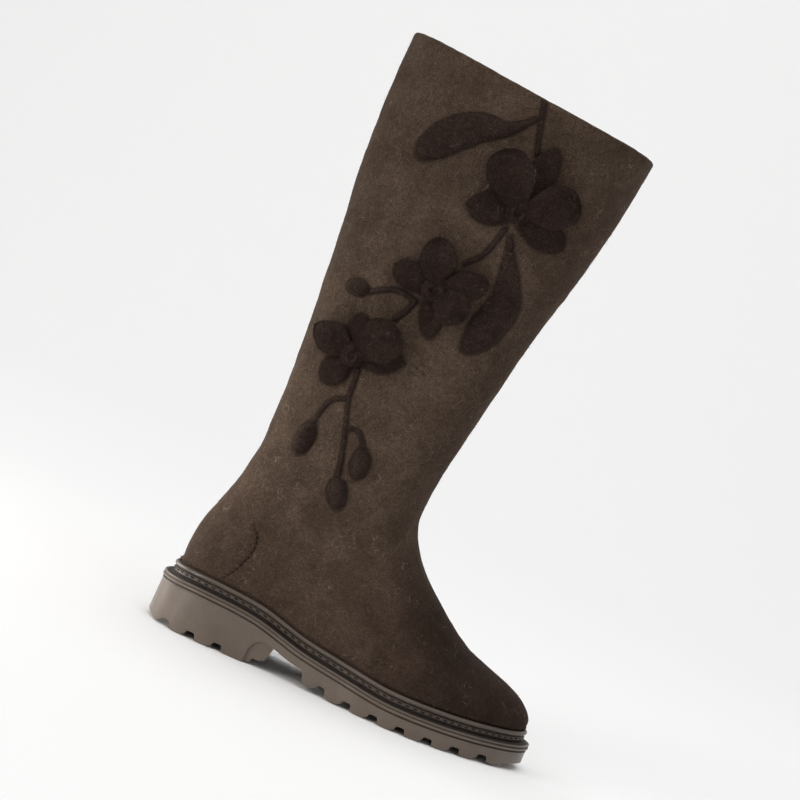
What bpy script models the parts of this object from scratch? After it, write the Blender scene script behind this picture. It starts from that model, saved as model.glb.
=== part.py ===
"""A felt winter boot for the right foot, standing on its sole.

The toe points along +X, the outer side faces -Y and the boot's own middle, at floor height, is the origin.
Everything is in metres. The upper is one felt body, foot and shaft in one, on a lugged rubber sole.
"""

import math
from bisect import bisect_right
from collections import namedtuple

import bmesh
import bpy
from mathutils import Vector

# Driving sizes of the foot and the shaft
SOLE_LENGTH = 0.277
BALL_WIDTH = 0.102
TOE_SWING = 0.008
ANKLE_HEIGHT = 0.146
ANKLE_DEPTH = 0.119
ANKLE_WIDTH = 0.084
ANKLE_SETBACK = 0.027
SHAFT_HEIGHT = 0.431
COLLAR_DEPTH = 0.1842
COLLAR_WIDTH = 0.100
COLLAR_SETBACK = 0.0115
COLLAR_DROP = 0.0175
COLLAR_DIP = 0.0022
ANKLE_DROP = 0.009

# Driving sizes of the felt
FELT = 0.0045
COLLAR_ROLL = 0.0012
INSOLE_THICKNESS = 0.003
GAP = 0.0003

# Driving sizes of the rubber
HEEL_HEIGHT = 0.0295
FORE_HEIGHT = 0.0115
TOE_SPRING = 0.003
FLANGE_HEIGHT = 0.0042
LEDGE = 0.0046
WALL_STEP = 0.001
WELT_THICKNESS = 0.0024
WELT_HEIGHT = 0.0084
RIB_HEIGHT = 0.0033
STITCH_GROOVE = 0.0009
WAIST_THICKNESS = 0.0064
HEEL_LENGTH = 0.0912
HEEL_BEVEL = 0.018
HEEL_BEVEL_RISE = 0.0069
HEEL_PANEL = 0.0162
HEEL_PANEL_DEPTH = 0.0016
TREAD_START = 0.1165
TREAD_ROCKER = 0.0041
ROCKER_LENGTH = 0.042
FIRST_LUG = 0.0138
LUG_DEPTH = 0.0048
LUG_PITCH = 0.0195
NOTCH_WIDTH = 0.0066
NOTCH_FLARE = 0.0018
NOTCH_REACH = 0.019
MIDDLE_TREAD = 0.022

# Driving sizes of the felted flowers
FLOWER_REACH = 0.041
FLOWER_LIFT = 0.011
STEM_WIDTH = 0.0029
STEM_HEIGHT = 0.0022
LEAF_HEIGHT = 0.0030
BUD_HEIGHT = 0.0055
PETAL_EDGE = 0.0018
UNDERCUT = 0.0011
FLOWER_LEAN = 3.0

# How finely the rings are divided, in points around each ring
AROUND = 48

Outline = namedtuple("Outline", "along medial lateral")
Rise = namedtuple("Rise", "along rise")
Cup = namedtuple("Cup", "inset height")
Foot = namedtuple("Foot", "back_along back_up front_along front_up narrow width oval")
Leg = namedtuple("Leg", "up back front width dip")
Section = namedtuple("Section", "inset height")
Petal = namedtuple("Petal", "turn reach breadth lift")
Spray = namedtuple("Spray", "around up half")

# The sole seen from above. along is a share of the length, and the other two are half widths as shares of
# half the ball's width, before the ends are rounded off.
OUTLINE = [
    Outline(0.00, 1.38, 1.38),
    Outline(0.04, 1.32, 1.32),
    Outline(0.13, 1.09, 1.09),
    Outline(0.22, 0.865, 0.90),
    Outline(0.34, 0.665, 0.80),
    Outline(0.45, 0.62, 0.845),
    Outline(0.56, 0.75, 0.98),
    Outline(0.66, 0.93, 1.12),
    Outline(0.74, 1.04, 1.17),
    Outline(0.83, 1.10, 1.16),
    Outline(0.92, 1.13, 1.145),
    Outline(1.00, 1.19, 1.19),
]

# The line under the flange: 1 is the heel's height and 0 is the forefoot's.
SOLE_LINE = [
    Rise(0.00, 0.93),
    Rise(0.12, 1.01),
    Rise(0.26, 0.86),
    Rise(0.39, 0.40),
    Rise(0.52, 0.16),
    Rise(0.62, 0.01),
    Rise(0.76, 0.00),
    Rise(1.00, 0.00),
]
SPRING_START = 0.74

# The foot, from just above the welt to the ankle. The back and front of each section are shares of the sole's
# length and of the ankle's height. narrow scales the sole's outline, width is a share of the ankle's width, and
# oval says how far the section has turned from the sole's outline into the shaft's oval.
FOOT = [
    Foot(0.0285, 0.305, 0.9750, 0.192, 1.00, 0.86, 0.00),
    Foot(0.0290, 0.345, 0.9735, 0.229, 1.01, 0.86, 0.03),
    Foot(0.0300, 0.390, 0.9610, 0.264, 1.00, 0.86, 0.07),
    Foot(0.0325, 0.438, 0.9355, 0.305, 0.965, 0.86, 0.12),
    Foot(0.0380, 0.493, 0.8920, 0.347, 0.91, 0.86, 0.20),
    Foot(0.0460, 0.548, 0.8365, 0.380, 0.85, 0.86, 0.30),
    Foot(0.0560, 0.603, 0.7780, 0.420, 0.80, 0.87, 0.42),
    Foot(0.0660, 0.658, 0.7200, 0.484, 0.76, 0.88, 0.55),
    Foot(0.0765, 0.719, 0.6620, 0.568, 0.72, 0.90, 0.68),
    Foot(0.0840, 0.781, 0.6060, 0.654, 0.70, 0.93, 0.80),
    Foot(0.0905, 0.847, 0.5660, 0.740, 0.69, 0.96, 0.90),
    Foot(0.0955, 0.918, 0.5370, 0.836, 0.69, 0.98, 0.97),
]

# The shaft, from the ankle (0) to the collar (1). back, front and width say how far each has gone from its
# place at the ankle to its place at the collar, and dip how much the rim hangs at the two sides.
LEG = [
    Leg(0.00, 0.00, 0.00, 0.00, 0.0),
    Leg(0.12, 0.02, 0.07, 0.08, 0.0),
    Leg(0.25, 0.15, 0.20, 0.22, 0.0),
    Leg(0.38, 0.34, 0.33, 0.37, 0.0),
    Leg(0.52, 0.57, 0.485, 0.53, 0.0),
    Leg(0.66, 0.84, 0.68, 0.69, 0.0),
    Leg(0.80, 0.98, 0.84, 0.83, 0.0),
    Leg(0.91, 1.00, 0.93, 0.94, 0.0),
    Leg(1.00, 0.97, 1.00, 1.00, 1.0),
]
FRONT_FULLNESS = 0.30
BACK_FULLNESS = 0.22

# The flowers on the shaft's outer side. Places on it are around, a share of the shaft's depth from its back to
# its front, and up, a share of the shaft's height. A petal is an ellipse that starts at the flower's middle:
# turn is its direction in degrees above the toe's, and the rest are shares of FLOWER_REACH and FLOWER_LIFT.
FLOWERS = {
    "flower_top": (
        (0.655, 0.803),
        [
            Petal(88, 1.14, 0.22, 0.50),
            Petal(127, 1.00, 0.34, 1.00),
            Petal(33, 0.97, 0.345, 0.95),
            Petal(195, 0.85, 0.27, 0.50),
            Petal(-17, 0.88, 0.25, 0.55),
            Petal(0, 0.30, 0.22, 1.00),
        ],
    ),
    "flower_middle": (
        (0.507, 0.644),
        [
            Petal(109, 0.88, 0.30, 0.95),
            Petal(169, 0.76, 0.22, 0.60),
            Petal(31, 0.85, 0.25, 0.80),
            Petal(-21, 0.66, 0.28, 0.90),
            Petal(-71, 0.78, 0.19, 0.50),
            Petal(200, 0.26, 0.20, 1.00),
        ],
    ),
    "flower_low": (
        (0.284, 0.504),
        [
            Petal(165, 0.74, 0.27, 0.60),
            Petal(48, 0.83, 0.35, 1.00),
            Petal(100, 0.66, 0.18, 0.50),
            Petal(14, 0.84, 0.22, 0.55),
            Petal(241, 0.64, 0.23, 0.50),
            Petal(290, 0.26, 0.22, 1.00),
        ],
    ),
}

# Leaves, buds and stems: each row is a place on the middle line, with half the width there as a share of
# the flowers' reach.
LEAVES = {
    "leaf_upper": [
        Spray(0.551, 0.944, 0.035),
        Spray(0.520, 0.929, 0.055),
        Spray(0.475, 0.912, 0.105),
        Spray(0.425, 0.904, 0.180),
        Spray(0.375, 0.896, 0.240),
        Spray(0.315, 0.877, 0.285),
        Spray(0.266, 0.854, 0.265),
        Spray(0.236, 0.835, 0.185),
        Spray(0.222, 0.823, 0.065),
    ],
    "leaf_lower": [
        Spray(0.674, 0.764, 0.040),
        Spray(0.700, 0.745, 0.065),
        Spray(0.722, 0.729, 0.105),
        Spray(0.768, 0.695, 0.185),
        Spray(0.800, 0.659, 0.265),
        Spray(0.790, 0.623, 0.290),
        Spray(0.778, 0.600, 0.225),
        Spray(0.760, 0.584, 0.125),
        Spray(0.750, 0.577, 0.050),
    ],
}
BUDS = {
    "bud_middle": [
        Spray(0.233, 0.6020, 0.050),
        Spray(0.213, 0.6025, 0.112),
        Spray(0.184, 0.6020, 0.137),
        Spray(0.156, 0.6005, 0.105),
        Spray(0.141, 0.5990, 0.038),
    ],
    "bud_back": [
        Spray(0.241, 0.3835, 0.055),
        Spray(0.236, 0.3740, 0.120),
        Spray(0.230, 0.3590, 0.158),
        Spray(0.226, 0.3430, 0.132),
        Spray(0.223, 0.3310, 0.044),
    ],
    "bud_front": [
        Spray(0.549, 0.3770, 0.055),
        Spray(0.556, 0.3680, 0.120),
        Spray(0.567, 0.3550, 0.156),
        Spray(0.575, 0.3410, 0.122),
        Spray(0.579, 0.3320, 0.044),
    ],
    "bud_low": [
        Spray(0.492, 0.3215, 0.060),
        Spray(0.502, 0.3110, 0.140),
        Spray(0.510, 0.2990, 0.170),
        Spray(0.514, 0.2870, 0.135),
        Spray(0.513, 0.2780, 0.048),
    ],
}
STEMS = {
    "stem_top": [(0.541, 0.975), (0.560, 0.952), (0.580, 0.928), (0.611, 0.900)],
    "stem_upper": [(0.637, 0.764), (0.630, 0.742), (0.613, 0.720), (0.574, 0.702)],
    "stem_bud": [(0.243, 0.6025), (0.300, 0.6140), (0.360, 0.6220), (0.425, 0.6195)],
    "stem_middle": [(0.447, 0.612), (0.436, 0.600), (0.420, 0.590), (0.396, 0.579)],
    "stem_low": [(0.350, 0.472), (0.358, 0.441), (0.404, 0.402), (0.452, 0.362), (0.486, 0.326)],
    "stem_back": [(0.343, 0.437), (0.300, 0.432), (0.266, 0.420), (0.249, 0.403), (0.242, 0.388)],
    "stem_front": [(0.429, 0.399), (0.470, 0.399), (0.512, 0.392), (0.540, 0.381)],
}


def smooth(rows, at):
    """A table's columns at a place between its rows, on a cubic through them. The first column is the place."""
    low = min(max(bisect_right([row[0] for row in rows], at) - 1, 0), len(rows) - 2)
    before, after = rows[max(low - 1, 0)], rows[min(low + 2, len(rows) - 1)]
    first, second = rows[low], rows[low + 1]
    span = second[0] - first[0]
    t = min(max((at - first[0]) / span, 0.0), 1.0)
    columns = []
    for a, b, c, d in zip(before, first, second, after):
        slope_b = span * (c - a) / (second[0] - before[0])
        slope_c = span * (d - b) / (after[0] - first[0])
        bend = (2 * t**3 - 3 * t**2 + 1) * b + (3 * t**2 - 2 * t**3) * c
        columns.append(bend + (t**3 - 2 * t**2 + t) * slope_b + (t**3 - t**2) * slope_c)
    return columns


def mix(a, b, share):
    return a + (b - a) * share


def spring(along):
    """How far the sole has curved up towards the toe, from 0 to 1."""
    return max(0.0, (along - SPRING_START) / (1 - SPRING_START)) ** 2


def flange_base(x):
    """The height of the flange's lower edge at a distance from the heel."""
    along = x / SOLE_LENGTH
    rise = smooth(SOLE_LINE, along)[1]
    return mix(FORE_HEIGHT, HEEL_HEIGHT, rise) + TOE_SPRING * spring(along)


def seat(x):
    """The height of the sole's upper face, which carries the welt, the felt and the insole."""
    return flange_base(x) + FLANGE_HEIGHT


def edge(angle):
    """A point of the flange's edge, from above. Angle 0 is the heel, pi is the toe and the outer side is between."""
    along = (1 - math.cos(angle)) / 2
    row = Outline(*smooth(OUTLINE, along))
    side = math.sin(angle)
    half = row.lateral if side > 0 else row.medial
    swing = TOE_SWING * max(0.0, (along - 0.55) / 0.45) ** 1.6
    return Vector((along * SOLE_LENGTH, swing - BALL_WIDTH / 2 * half * side, 0))


def plan(angle, inset):
    """The flange's edge moved inwards by the inset."""
    step = 0.01
    way = edge(angle + step) - edge(angle - step)
    outward = Vector((way.y, -way.x, 0)).normalized()
    return edge(angle) - outward * inset


def angles(count=AROUND):
    return [2 * math.pi * i / count for i in range(count)]


# Building meshes


def material(name, colour, roughness):
    paint = bpy.data.materials.new(name)
    paint.use_nodes = True
    shader = paint.node_tree.nodes["Principled BSDF"]
    shader.inputs["Base Color"].default_value = (*colour, 1)
    shader.inputs["Roughness"].default_value = roughness
    shader.inputs["Metallic"].default_value = 0.0
    return paint


def to_object(name, mesh_maker, paint):
    """A new object from a filled bmesh, with its faces turned outwards."""
    bmesh.ops.recalc_face_normals(mesh_maker, faces=mesh_maker.faces)
    mesh = bpy.data.meshes.new(name)
    mesh_maker.to_mesh(mesh)
    mesh_maker.free()
    mesh.shade_smooth()
    mesh.set_sharp_from_angle(angle=math.radians(35))
    mesh.materials.append(paint)
    thing = bpy.data.objects.new(name, mesh)
    bpy.context.scene.collection.objects.link(thing)
    return thing


def bridge(shape, first, second):
    """Quads between two closed rings of the same count."""
    count = len(first)
    for i in range(count):
        j = (i + 1) % count
        shape.faces.new((first[i], first[j], second[j], second[i]))


def ladder(shape, ring):
    """Closes a ring that is even about its first point with cross strips from side to side."""
    count = len(ring)
    half = count // 2
    for i in range(half):
        corners = [ring[i], ring[i + 1], ring[count - i - 1], ring[(count - i) % count]]
        unique = list(dict.fromkeys(corners))
        if len(unique) > 2:
            shape.faces.new(unique)


def fan(shape, ring, middle):
    """Closes a ring with triangles that meet at a point."""
    tip = shape.verts.new(middle)
    for i, corner in enumerate(ring):
        shape.faces.new((corner, ring[(i + 1) % len(ring)], tip))


def loft(name, rings, paint, closed_loop=False, tips=None):
    """A body through rings of points. Its ends are capped by fans to the two tips or else by ladders, unless
    it is a closed loop, whose last ring joins its first."""
    shape = bmesh.new()
    loops = [[shape.verts.new(point) for point in ring] for ring in rings]
    for first, second in zip(loops, loops[1:]):
        bridge(shape, first, second)
    if closed_loop:
        bridge(shape, loops[-1], loops[0])
    elif tips:
        fan(shape, loops[0], tips[0])
        fan(shape, loops[-1], tips[1])
    else:
        ladder(shape, loops[0])
        ladder(shape, loops[-1])
    return to_object(name, shape, paint)


# The felt's surface


def cup_stations():
    """The felt inside the welt, and where it swells out just above it."""
    top = WELT_HEIGHT + 2 * GAP
    hidden = WALL_STEP + LEDGE + WELT_THICKNESS + GAP
    swollen = hidden - 0.7 * WELT_THICKNESS
    rows = [Cup(hidden, GAP), Cup(hidden, top), Cup(swollen, top + 0.5 * WELT_THICKNESS)]
    ends = [(r.inset, SOLE_LENGTH - r.inset) for r in rows]
    return [
        (r.inset, heel, seat(heel) + r.height, toe, seat(toe) + r.height, 1.0, ANKLE_WIDTH, 0.0, 0.0)
        for r, (heel, toe) in zip(rows, ends)
    ]


def foot_stations():
    hidden = WALL_STEP + LEDGE + WELT_THICKNESS + GAP
    inset = hidden - WELT_THICKNESS
    return [
        (
            inset,
            r.back_along * SOLE_LENGTH,
            r.back_up * ANKLE_HEIGHT,
            r.front_along * SOLE_LENGTH,
            r.front_up * ANKLE_HEIGHT,
            r.narrow,
            r.width * ANKLE_WIDTH,
            r.oval,
            0.0,
        )
        for r in FOOT
    ]


def leg_stations():
    front_ankle, front_collar = ANKLE_SETBACK + ANKLE_DEPTH, COLLAR_SETBACK + COLLAR_DEPTH
    rows = []
    for r in LEG:
        back_up = mix(ANKLE_HEIGHT, SHAFT_HEIGHT, r.up)
        rows.append(
            (
                0.0,
                mix(ANKLE_SETBACK, COLLAR_SETBACK, r.back),
                back_up,
                mix(front_ankle, front_collar, r.front),
                back_up - mix(ANKLE_DROP, COLLAR_DROP, r.up),
                FOOT[-1].narrow,
                mix(ANKLE_WIDTH, COLLAR_WIDTH, r.width),
                1.0,
                r.dip * COLLAR_DIP,
            )
        )
    return rows


Station = namedtuple("Station", "level inset back_x back_z front_x front_z narrow width oval dip")
STATIONS = [
    Station(level, *row) for level, row in enumerate(cup_stations() + foot_stations() + leg_stations())
]
FIRST_LEG = len(STATIONS) - len(LEG)
LAST = len(STATIONS) - 1


def felt_face(level, angle):
    """A point of the felt's outer face. A whole level is a station, and levels between them are smooth."""
    s = STATIONS[int(level)] if level == int(level) else Station(*smooth(STATIONS, level))
    heel, toe = plan(0, s.inset), plan(math.pi, s.inset)
    on_sole = plan(angle, s.inset)
    share = (on_sole.x - heel.x) / (toe.x - heel.x)
    bow = flange_base(on_sole.x) - mix(flange_base(heel.x), flange_base(toe.x), share)
    around = (1 - math.cos(angle)) / 2
    front, back = max(0.0, 2 * around - 1) ** 2, max(0.0, 1 - 2 * around) ** 2
    fullness = 1 + FRONT_FULLNESS * front + BACK_FULLNESS * back
    oval_y = -s.width / 2 * math.sin(angle) * fullness
    along = mix(share, around, s.oval)
    x = mix(s.back_x, s.front_x, along)
    z = mix(s.back_z, s.front_z, along) + (1 - s.oval) * bow - s.dip * math.sin(angle) ** 2
    return Vector((x, mix(on_sole.y * s.narrow, oval_y, s.oval), z))


def felt_point(level, angle, out=0.0, reach=0.5):
    """A point that far out from the felt's outer face, or inside it where out is negative."""
    low, high = max(level - reach, 0.0), min(level + reach, LAST)
    rise = felt_face(high, angle) - felt_face(low, angle)
    way = felt_face(level, angle + 0.02) - felt_face(level, angle - 0.02)
    return felt_face(level, angle) + way.cross(rise).normalized() * out


# Places on the shaft's outer side


def facet_point(level, angle):
    """A point of the felt as it is faceted. A quad may be split along either diagonal, so it is the outer one."""
    step = 2 * math.pi / AROUND
    low, start = min(int(level), LAST - 1), math.floor(angle / step)
    up, across = level - low, angle / step - start
    a, b = felt_face(low, start * step), felt_face(low, (start + 1) * step)
    d, c = felt_face(low + 1, start * step), felt_face(low + 1, (start + 1) * step)
    if across > up:
        one = a + (b - a) * across + (c - b) * up
    else:
        one = a + (d - a) * up + (c - d) * across
    if across + up < 1:
        other = a + (b - a) * across + (d - a) * up
    else:
        other = c + (d - c) * (1 - across) + (b - c) * (1 - up)
    return min(one, other, key=lambda point: point.y)


def shaft_point(around, up, out, raised=0.0):
    """A point over the faceted felt of the outer side, that far out from it. Where it is also raised, that leans
    from straight out to straight sideways, as the flowers do."""
    angle = math.acos(1 - 2 * min(max(around, 0.01), 0.99))
    low, high = FIRST_LEG - 5, LAST
    for _ in range(16):
        middle = (low + high) / 2
        if facet_point(middle, angle).z < up * SHAFT_HEIGHT:
            low = middle
        else:
            high = middle
    normal = (felt_point(low, angle, 1.0) - felt_face(low, angle)).normalized()
    lean = (normal + Vector((0, -FLOWER_LEAN, 0))).normalized()
    return facet_point(low, angle) + normal * out + lean * raised


def shaft_depth(up):
    """The shaft's depth from back to front at a height."""
    share = min(max((up * SHAFT_HEIGHT - ANKLE_HEIGHT) / (SHAFT_HEIGHT - ANKLE_HEIGHT), 0.0), 1.0)
    return mix(ANKLE_DEPTH, COLLAR_DEPTH, share)


def beside(around, up, along, above, out, raised=0.0):
    """A shaft point moved by two lengths as seen from the side."""
    return shaft_point(around + along / shaft_depth(up), up + above / SHAFT_HEIGHT, out, raised)


# Cutting the sole's underside


def side_edge(x, side):
    """The flange's edge beside a place along the sole: side 1 is the outer one and -1 the inner one."""
    angle = math.acos(1 - 2 * min(max(x / SOLE_LENGTH, 0.0), 1.0))
    return edge(side * angle).y


def tread_line(x):
    """The height of the forefoot's tread: it rises towards the waist and the toe and is flat between."""
    rocker = max(0.0, 1 - (x - TREAD_START) / ROCKER_LENGTH)
    return TREAD_ROCKER * rocker**2 + TOE_SPRING * spring(x / SOLE_LENGTH)


def under_line():
    """The sole's lower outline from the side, from behind the heel to beyond the toe, as (x, z)."""
    heel_back = [(-0.02, 0.0045), (0.003, 0.0032), (0.010, 0.0012), (0.019, 0.0)]
    bevel = [(HEEL_LENGTH - HEEL_BEVEL, 0.0), (HEEL_LENGTH - 0.0025, HEEL_BEVEL_RISE)]
    waist_end = TREAD_START - 0.0015
    waist = [mix(HEEL_LENGTH, waist_end, share) for share in (0.0, 0.35, 0.7, 1.0)]
    waist = [(x, flange_base(x) - WAIST_THICKNESS) for x in waist]
    rocker = [TREAD_START + ROCKER_LENGTH * share for share in (0.0, 0.25, 0.5, 0.75, 1.0)]
    toe = [SOLE_LENGTH * mix(SPRING_START, 1.0, share) for share in (0.0, 0.25, 0.5, 0.75, 1.0)]
    tread = [(x, tread_line(x)) for x in rocker + toe]
    return heel_back + bevel + waist + tread + [(SOLE_LENGTH + 0.02, tread[-1][1])]


def prism(shape, corners, axis, start, end):
    """Adds a closed prism to a bmesh: corners are in the plane across the axis, which is Y or Z."""
    loops = []
    for place in (start, end):
        if axis == "Y":
            points = [Vector((a, place, b)) for a, b in corners]
        else:
            points = [Vector((a, b, place)) for a, b in corners]
        loops.append([shape.verts.new(point) for point in points])
    bridge(shape, loops[0], loops[1])
    shape.faces.new(loops[0])
    shape.faces.new(loops[1])


def notch(shape, x, floor, width, depth, start, end):
    """A groove across the tread that widens downwards."""
    top, bottom = width / 2, width / 2 + NOTCH_FLARE / 2
    low = floor - 0.006
    bottom += NOTCH_FLARE / 2 * (0.006 / depth)
    corners = [(x - bottom, low), (x + bottom, low), (x + top, floor + depth), (x - top, floor + depth)]
    prism(shape, corners, "Y", start, end)


def fore_notches():
    first = TREAD_START + FIRST_LUG
    count = int((0.93 * SOLE_LENGTH - first) / LUG_PITCH) + 1
    return [first + LUG_PITCH * i for i in range(count)]


def heel_notches():
    """One in the side panel, and the others from the heel's middle back to its round end."""
    first = HEEL_LENGTH - 2 * HEEL_PANEL - NOTCH_WIDTH / 2
    count = int((first - 0.05 * SOLE_LENGTH) / LUG_PITCH) + 1
    return [HEEL_LENGTH - HEEL_PANEL / 2] + [first - LUG_PITCH * i for i in range(count)]


def cut(thing, name, shape):
    """Takes a helper shape away from the thing."""
    tool = to_object(name, shape, thing.data.materials[0])
    tool.hide_render = True
    tool.display_type = "WIRE"
    tool.parent = thing
    step = thing.modifiers.new(name, "BOOLEAN")
    step.operation = "DIFFERENCE"
    step.object = tool


def cut_underside(outsole):
    line = under_line()
    below = bmesh.new()
    prism(below, line + [(line[-1][0], -0.03), (line[0][0], -0.03)], "Y", -BALL_WIDTH, BALL_WIDTH)
    cut(outsole, "underside_cutter", below)

    panels = bmesh.new()
    back, front = HEEL_LENGTH - HEEL_PANEL, HEEL_LENGTH + 0.004
    for side in (1, -1):
        far = -side * BALL_WIDTH
        deep = [(x, side_edge(x, side) + side * (HEEL_PANEL_DEPTH + WALL_STEP)) for x in (back, front)]
        top = flange_base(front) - WAIST_THICKNESS / 2
        prism(panels, [deep[0], deep[1], (front, far), (back, far)], "Z", -0.02, top)
    cut(outsole, "panel_cutter", panels)

    grooves = bmesh.new()
    for x in fore_notches() + heel_notches():
        floor = tread_line(x) if x > TREAD_START else 0.0
        for side in (1, -1):
            deep = side_edge(x, side) + side * NOTCH_REACH
            start, end = sorted((-side * BALL_WIDTH, deep))
            notch(grooves, x, floor, NOTCH_WIDTH, LUG_DEPTH, start, end)
    for x in fore_notches()[:-1]:
        middle = x + LUG_PITCH / 2
        centre = (side_edge(middle, 1) + side_edge(middle, -1)) / 2
        start, end = centre - MIDDLE_TREAD / 2, centre + MIDDLE_TREAD / 2
        notch(grooves, middle, tread_line(middle), NOTCH_WIDTH * 0.7, LUG_DEPTH * 0.7, start, end)
    cut(outsole, "groove_cutter", grooves)


# The pieces


def make_upper(felt):
    outer = [[felt_face(level, a) for a in angles()] for level in range(LAST + 1)]
    inner = [[felt_point(level, a, -FELT, reach=1.5) for a in angles()] for level in range(LAST + 1)]
    for point in inner[0]:
        point.z = seat(point.x) + GAP
    rim = [(a + b) / 2 + Vector((0, 0, COLLAR_ROLL)) for a, b in zip(outer[-1], inner[-1])]
    return loft("upper", outer + [rim] + inner[::-1], felt, closed_loop=True)


def sole_rings(rows):
    """Rings of the sole's outline. Each row's height is above the flange's lower edge."""
    rings = []
    for row in rows:
        points = [plan(a, row.inset) for a in angles()]
        rings.append([Vector((p.x, p.y, flange_base(p.x) + row.height)) for p in points])
    return rings


def make_outsole(rubber):
    below_floor = -0.012
    floor_ring = [plan(a, 0.0) for a in angles()]
    floor_ring = [Vector((p.x, p.y, below_floor)) for p in floor_ring]
    side = [
        Section(WALL_STEP, -0.0016),
        Section(WALL_STEP + 0.0008, -0.0010),
        Section(WALL_STEP + 0.0008, -0.0004),
        Section(0.0, 0.0),
        Section(0.0, FLANGE_HEIGHT - 0.0012),
        Section(WALL_STEP * 0.8, FLANGE_HEIGHT),
    ]
    outsole = loft("outsole", [floor_ring] + sole_rings(side), rubber)
    cut_underside(outsole)
    return outsole


def make_welt(rubber):
    outer = WALL_STEP + LEDGE
    inner = outer + WELT_THICKNESS
    rib = WELT_HEIGHT - RIB_HEIGHT
    section = [
        Section(inner, GAP),
        Section(outer + 0.0007, GAP),
        Section(outer, 0.0011),
        Section(outer, rib - STITCH_GROOVE - 0.0003),
        Section(outer + 0.0008, rib - STITCH_GROOVE),
        Section(outer + 0.0008, rib),
        Section(outer - 0.0003, rib + 0.0006),
        Section(outer - 0.0006, rib + RIB_HEIGHT / 2),
        Section(outer - 0.0002, WELT_HEIGHT - 0.0006),
        Section(outer + 0.0008, WELT_HEIGHT),
        Section(inner, WELT_HEIGHT),
    ]
    raised = [Section(s.inset, s.height + FLANGE_HEIGHT) for s in section]
    return loft("welt", sole_rings(raised), rubber, closed_loop=True)


def make_insole(felt):
    inset = WALL_STEP + LEDGE + WELT_THICKNESS + FELT + 3 * GAP
    base = FLANGE_HEIGHT + GAP
    rows = [Section(inset, base), Section(inset, base + INSOLE_THICKNESS)]
    return loft("insole", sole_rings(rows), felt)


def on_petal(petal, along, above):
    """How near a place is to the petal's middle, with 1 at the petal's edge."""
    turn = math.radians(petal.turn)
    length, breadth = petal.reach * FLOWER_REACH * 0.52, petal.breadth * FLOWER_REACH
    middle = petal.reach * FLOWER_REACH * 0.48
    out = along * math.cos(turn) + above * math.sin(turn) - middle
    across = above * math.cos(turn) - along * math.sin(turn)
    return math.hypot(out / length, across / breadth)


def petal_edge(petal, way):
    """The distance from the flower's middle to the petal's far edge in a direction."""
    turn = way - math.radians(petal.turn)
    length, breadth = petal.reach * FLOWER_REACH * 0.52, petal.breadth * FLOWER_REACH
    middle = petal.reach * FLOWER_REACH * 0.48
    a = (math.cos(turn) / length) ** 2 + (math.sin(turn) / breadth) ** 2
    b = -2 * middle * math.cos(turn) / length**2
    c = (middle / length) ** 2 - 1
    return (-b + math.sqrt(b * b - 4 * a * c)) / (2 * a)


def make_flower(name, place, petals, felt):
    """A flower felted in one piece: each petal is a dome, and they meet in troughs."""
    count = 40
    ways = [2 * math.pi * i / count for i in range(count)]
    edges = [max(petal_edge(petal, way) for petal in petals) for way in ways]

    def height(along, above):
        domes = (p.lift * math.sqrt(max(0.0, 1 - on_petal(p, along, above) ** 2)) for p in petals)
        return PETAL_EDGE + FLOWER_LIFT * max(domes)

    def ring(share, raised, under=0.0):
        places = [(share * far * math.cos(way), share * far * math.sin(way)) for way, far in zip(ways, edges)]
        return [beside(*place, x, z, GAP + under, height(x, z) if raised else 0.0) for x, z in places]

    top = [ring(share, True) for share in (0.14, 0.36, 0.58, 0.76, 0.90, 1.0)]
    base = [ring(1.0, False)] + [ring(share, False, UNDERCUT) for share in (0.70, 0.40)]
    tips = (shaft_point(*place, GAP, height(0, 0)), shaft_point(*place, GAP + UNDERCUT))
    return loft(name, top + base, felt, tips=tips)


def make_felted(name, rows, height, across, felt):
    """A pad or cord felted onto the shaft along a line of places, with that many strips across it."""
    depth = shaft_depth(rows[len(rows) // 2].up)
    rings = []
    for i, row in enumerate(rows):
        before, after = rows[max(i - 1, 0)], rows[min(i + 1, len(rows) - 1)]
        way = Vector(((after.around - before.around) * depth, (after.up - before.up) * SHAFT_HEIGHT)).normalized()
        half = row.half * FLOWER_REACH
        shares = [2 * j / across - 1 for j in range(across + 1)]
        under = [(share, GAP + UNDERCUT * half / 0.02 * (1 - share**2)) for share in shares]
        over = [(share, GAP + height * (0.3 + 0.7 * math.sqrt(1 - share**2))) for share in reversed(shares)]
        fade = min(1.0, 0.45 + row.half / max(r.half for r in rows))
        rings.append(
            [
                beside(row.around, row.up, -way.y * share * half, way.x * share * half, mix(GAP, out, fade))
                for share, out in under + over
            ]
        )
    tips = [sum(ring, Vector()) / len(ring) for ring in (rings[0], rings[-1])]
    return loft(name, rings, felt, tips=tips)


def finer(rows):
    """The rows of a felted line with one more between each two, on a smooth line through them."""
    table = [(i, *row) for i, row in enumerate(rows)]
    return [Spray(*smooth(table, i / 2)[1:]) for i in range(2 * len(rows) - 1)]


def make_flower_work(felt):
    stem_half = STEM_WIDTH / 2 / FLOWER_REACH
    stems = {name: [Spray(*place, stem_half) for place in places] for name, places in STEMS.items()}
    things = [make_flower(name, place, petals, felt) for name, (place, petals) in FLOWERS.items()]
    for lines, height, across in ((LEAVES, LEAF_HEIGHT, 4), (BUDS, BUD_HEIGHT, 4), (stems, STEM_HEIGHT, 2)):
        things += [make_felted(name, finer(rows), height, across, felt) for name, rows in lines.items()]
    return things


def centre_on_origin(things):
    """Moves the boot so that its own box stands on the origin by the middle of its base."""
    points = [v.co for thing in things for v in thing.data.vertices]
    low = [min(p[axis] for p in points) for axis in range(2)]
    high = [max(p[axis] for p in points) for axis in range(2)]
    shift = Vector((-(low[0] + high[0]) / 2, -(low[1] + high[1]) / 2, 0))
    for thing in things:
        thing.location = shift


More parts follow.
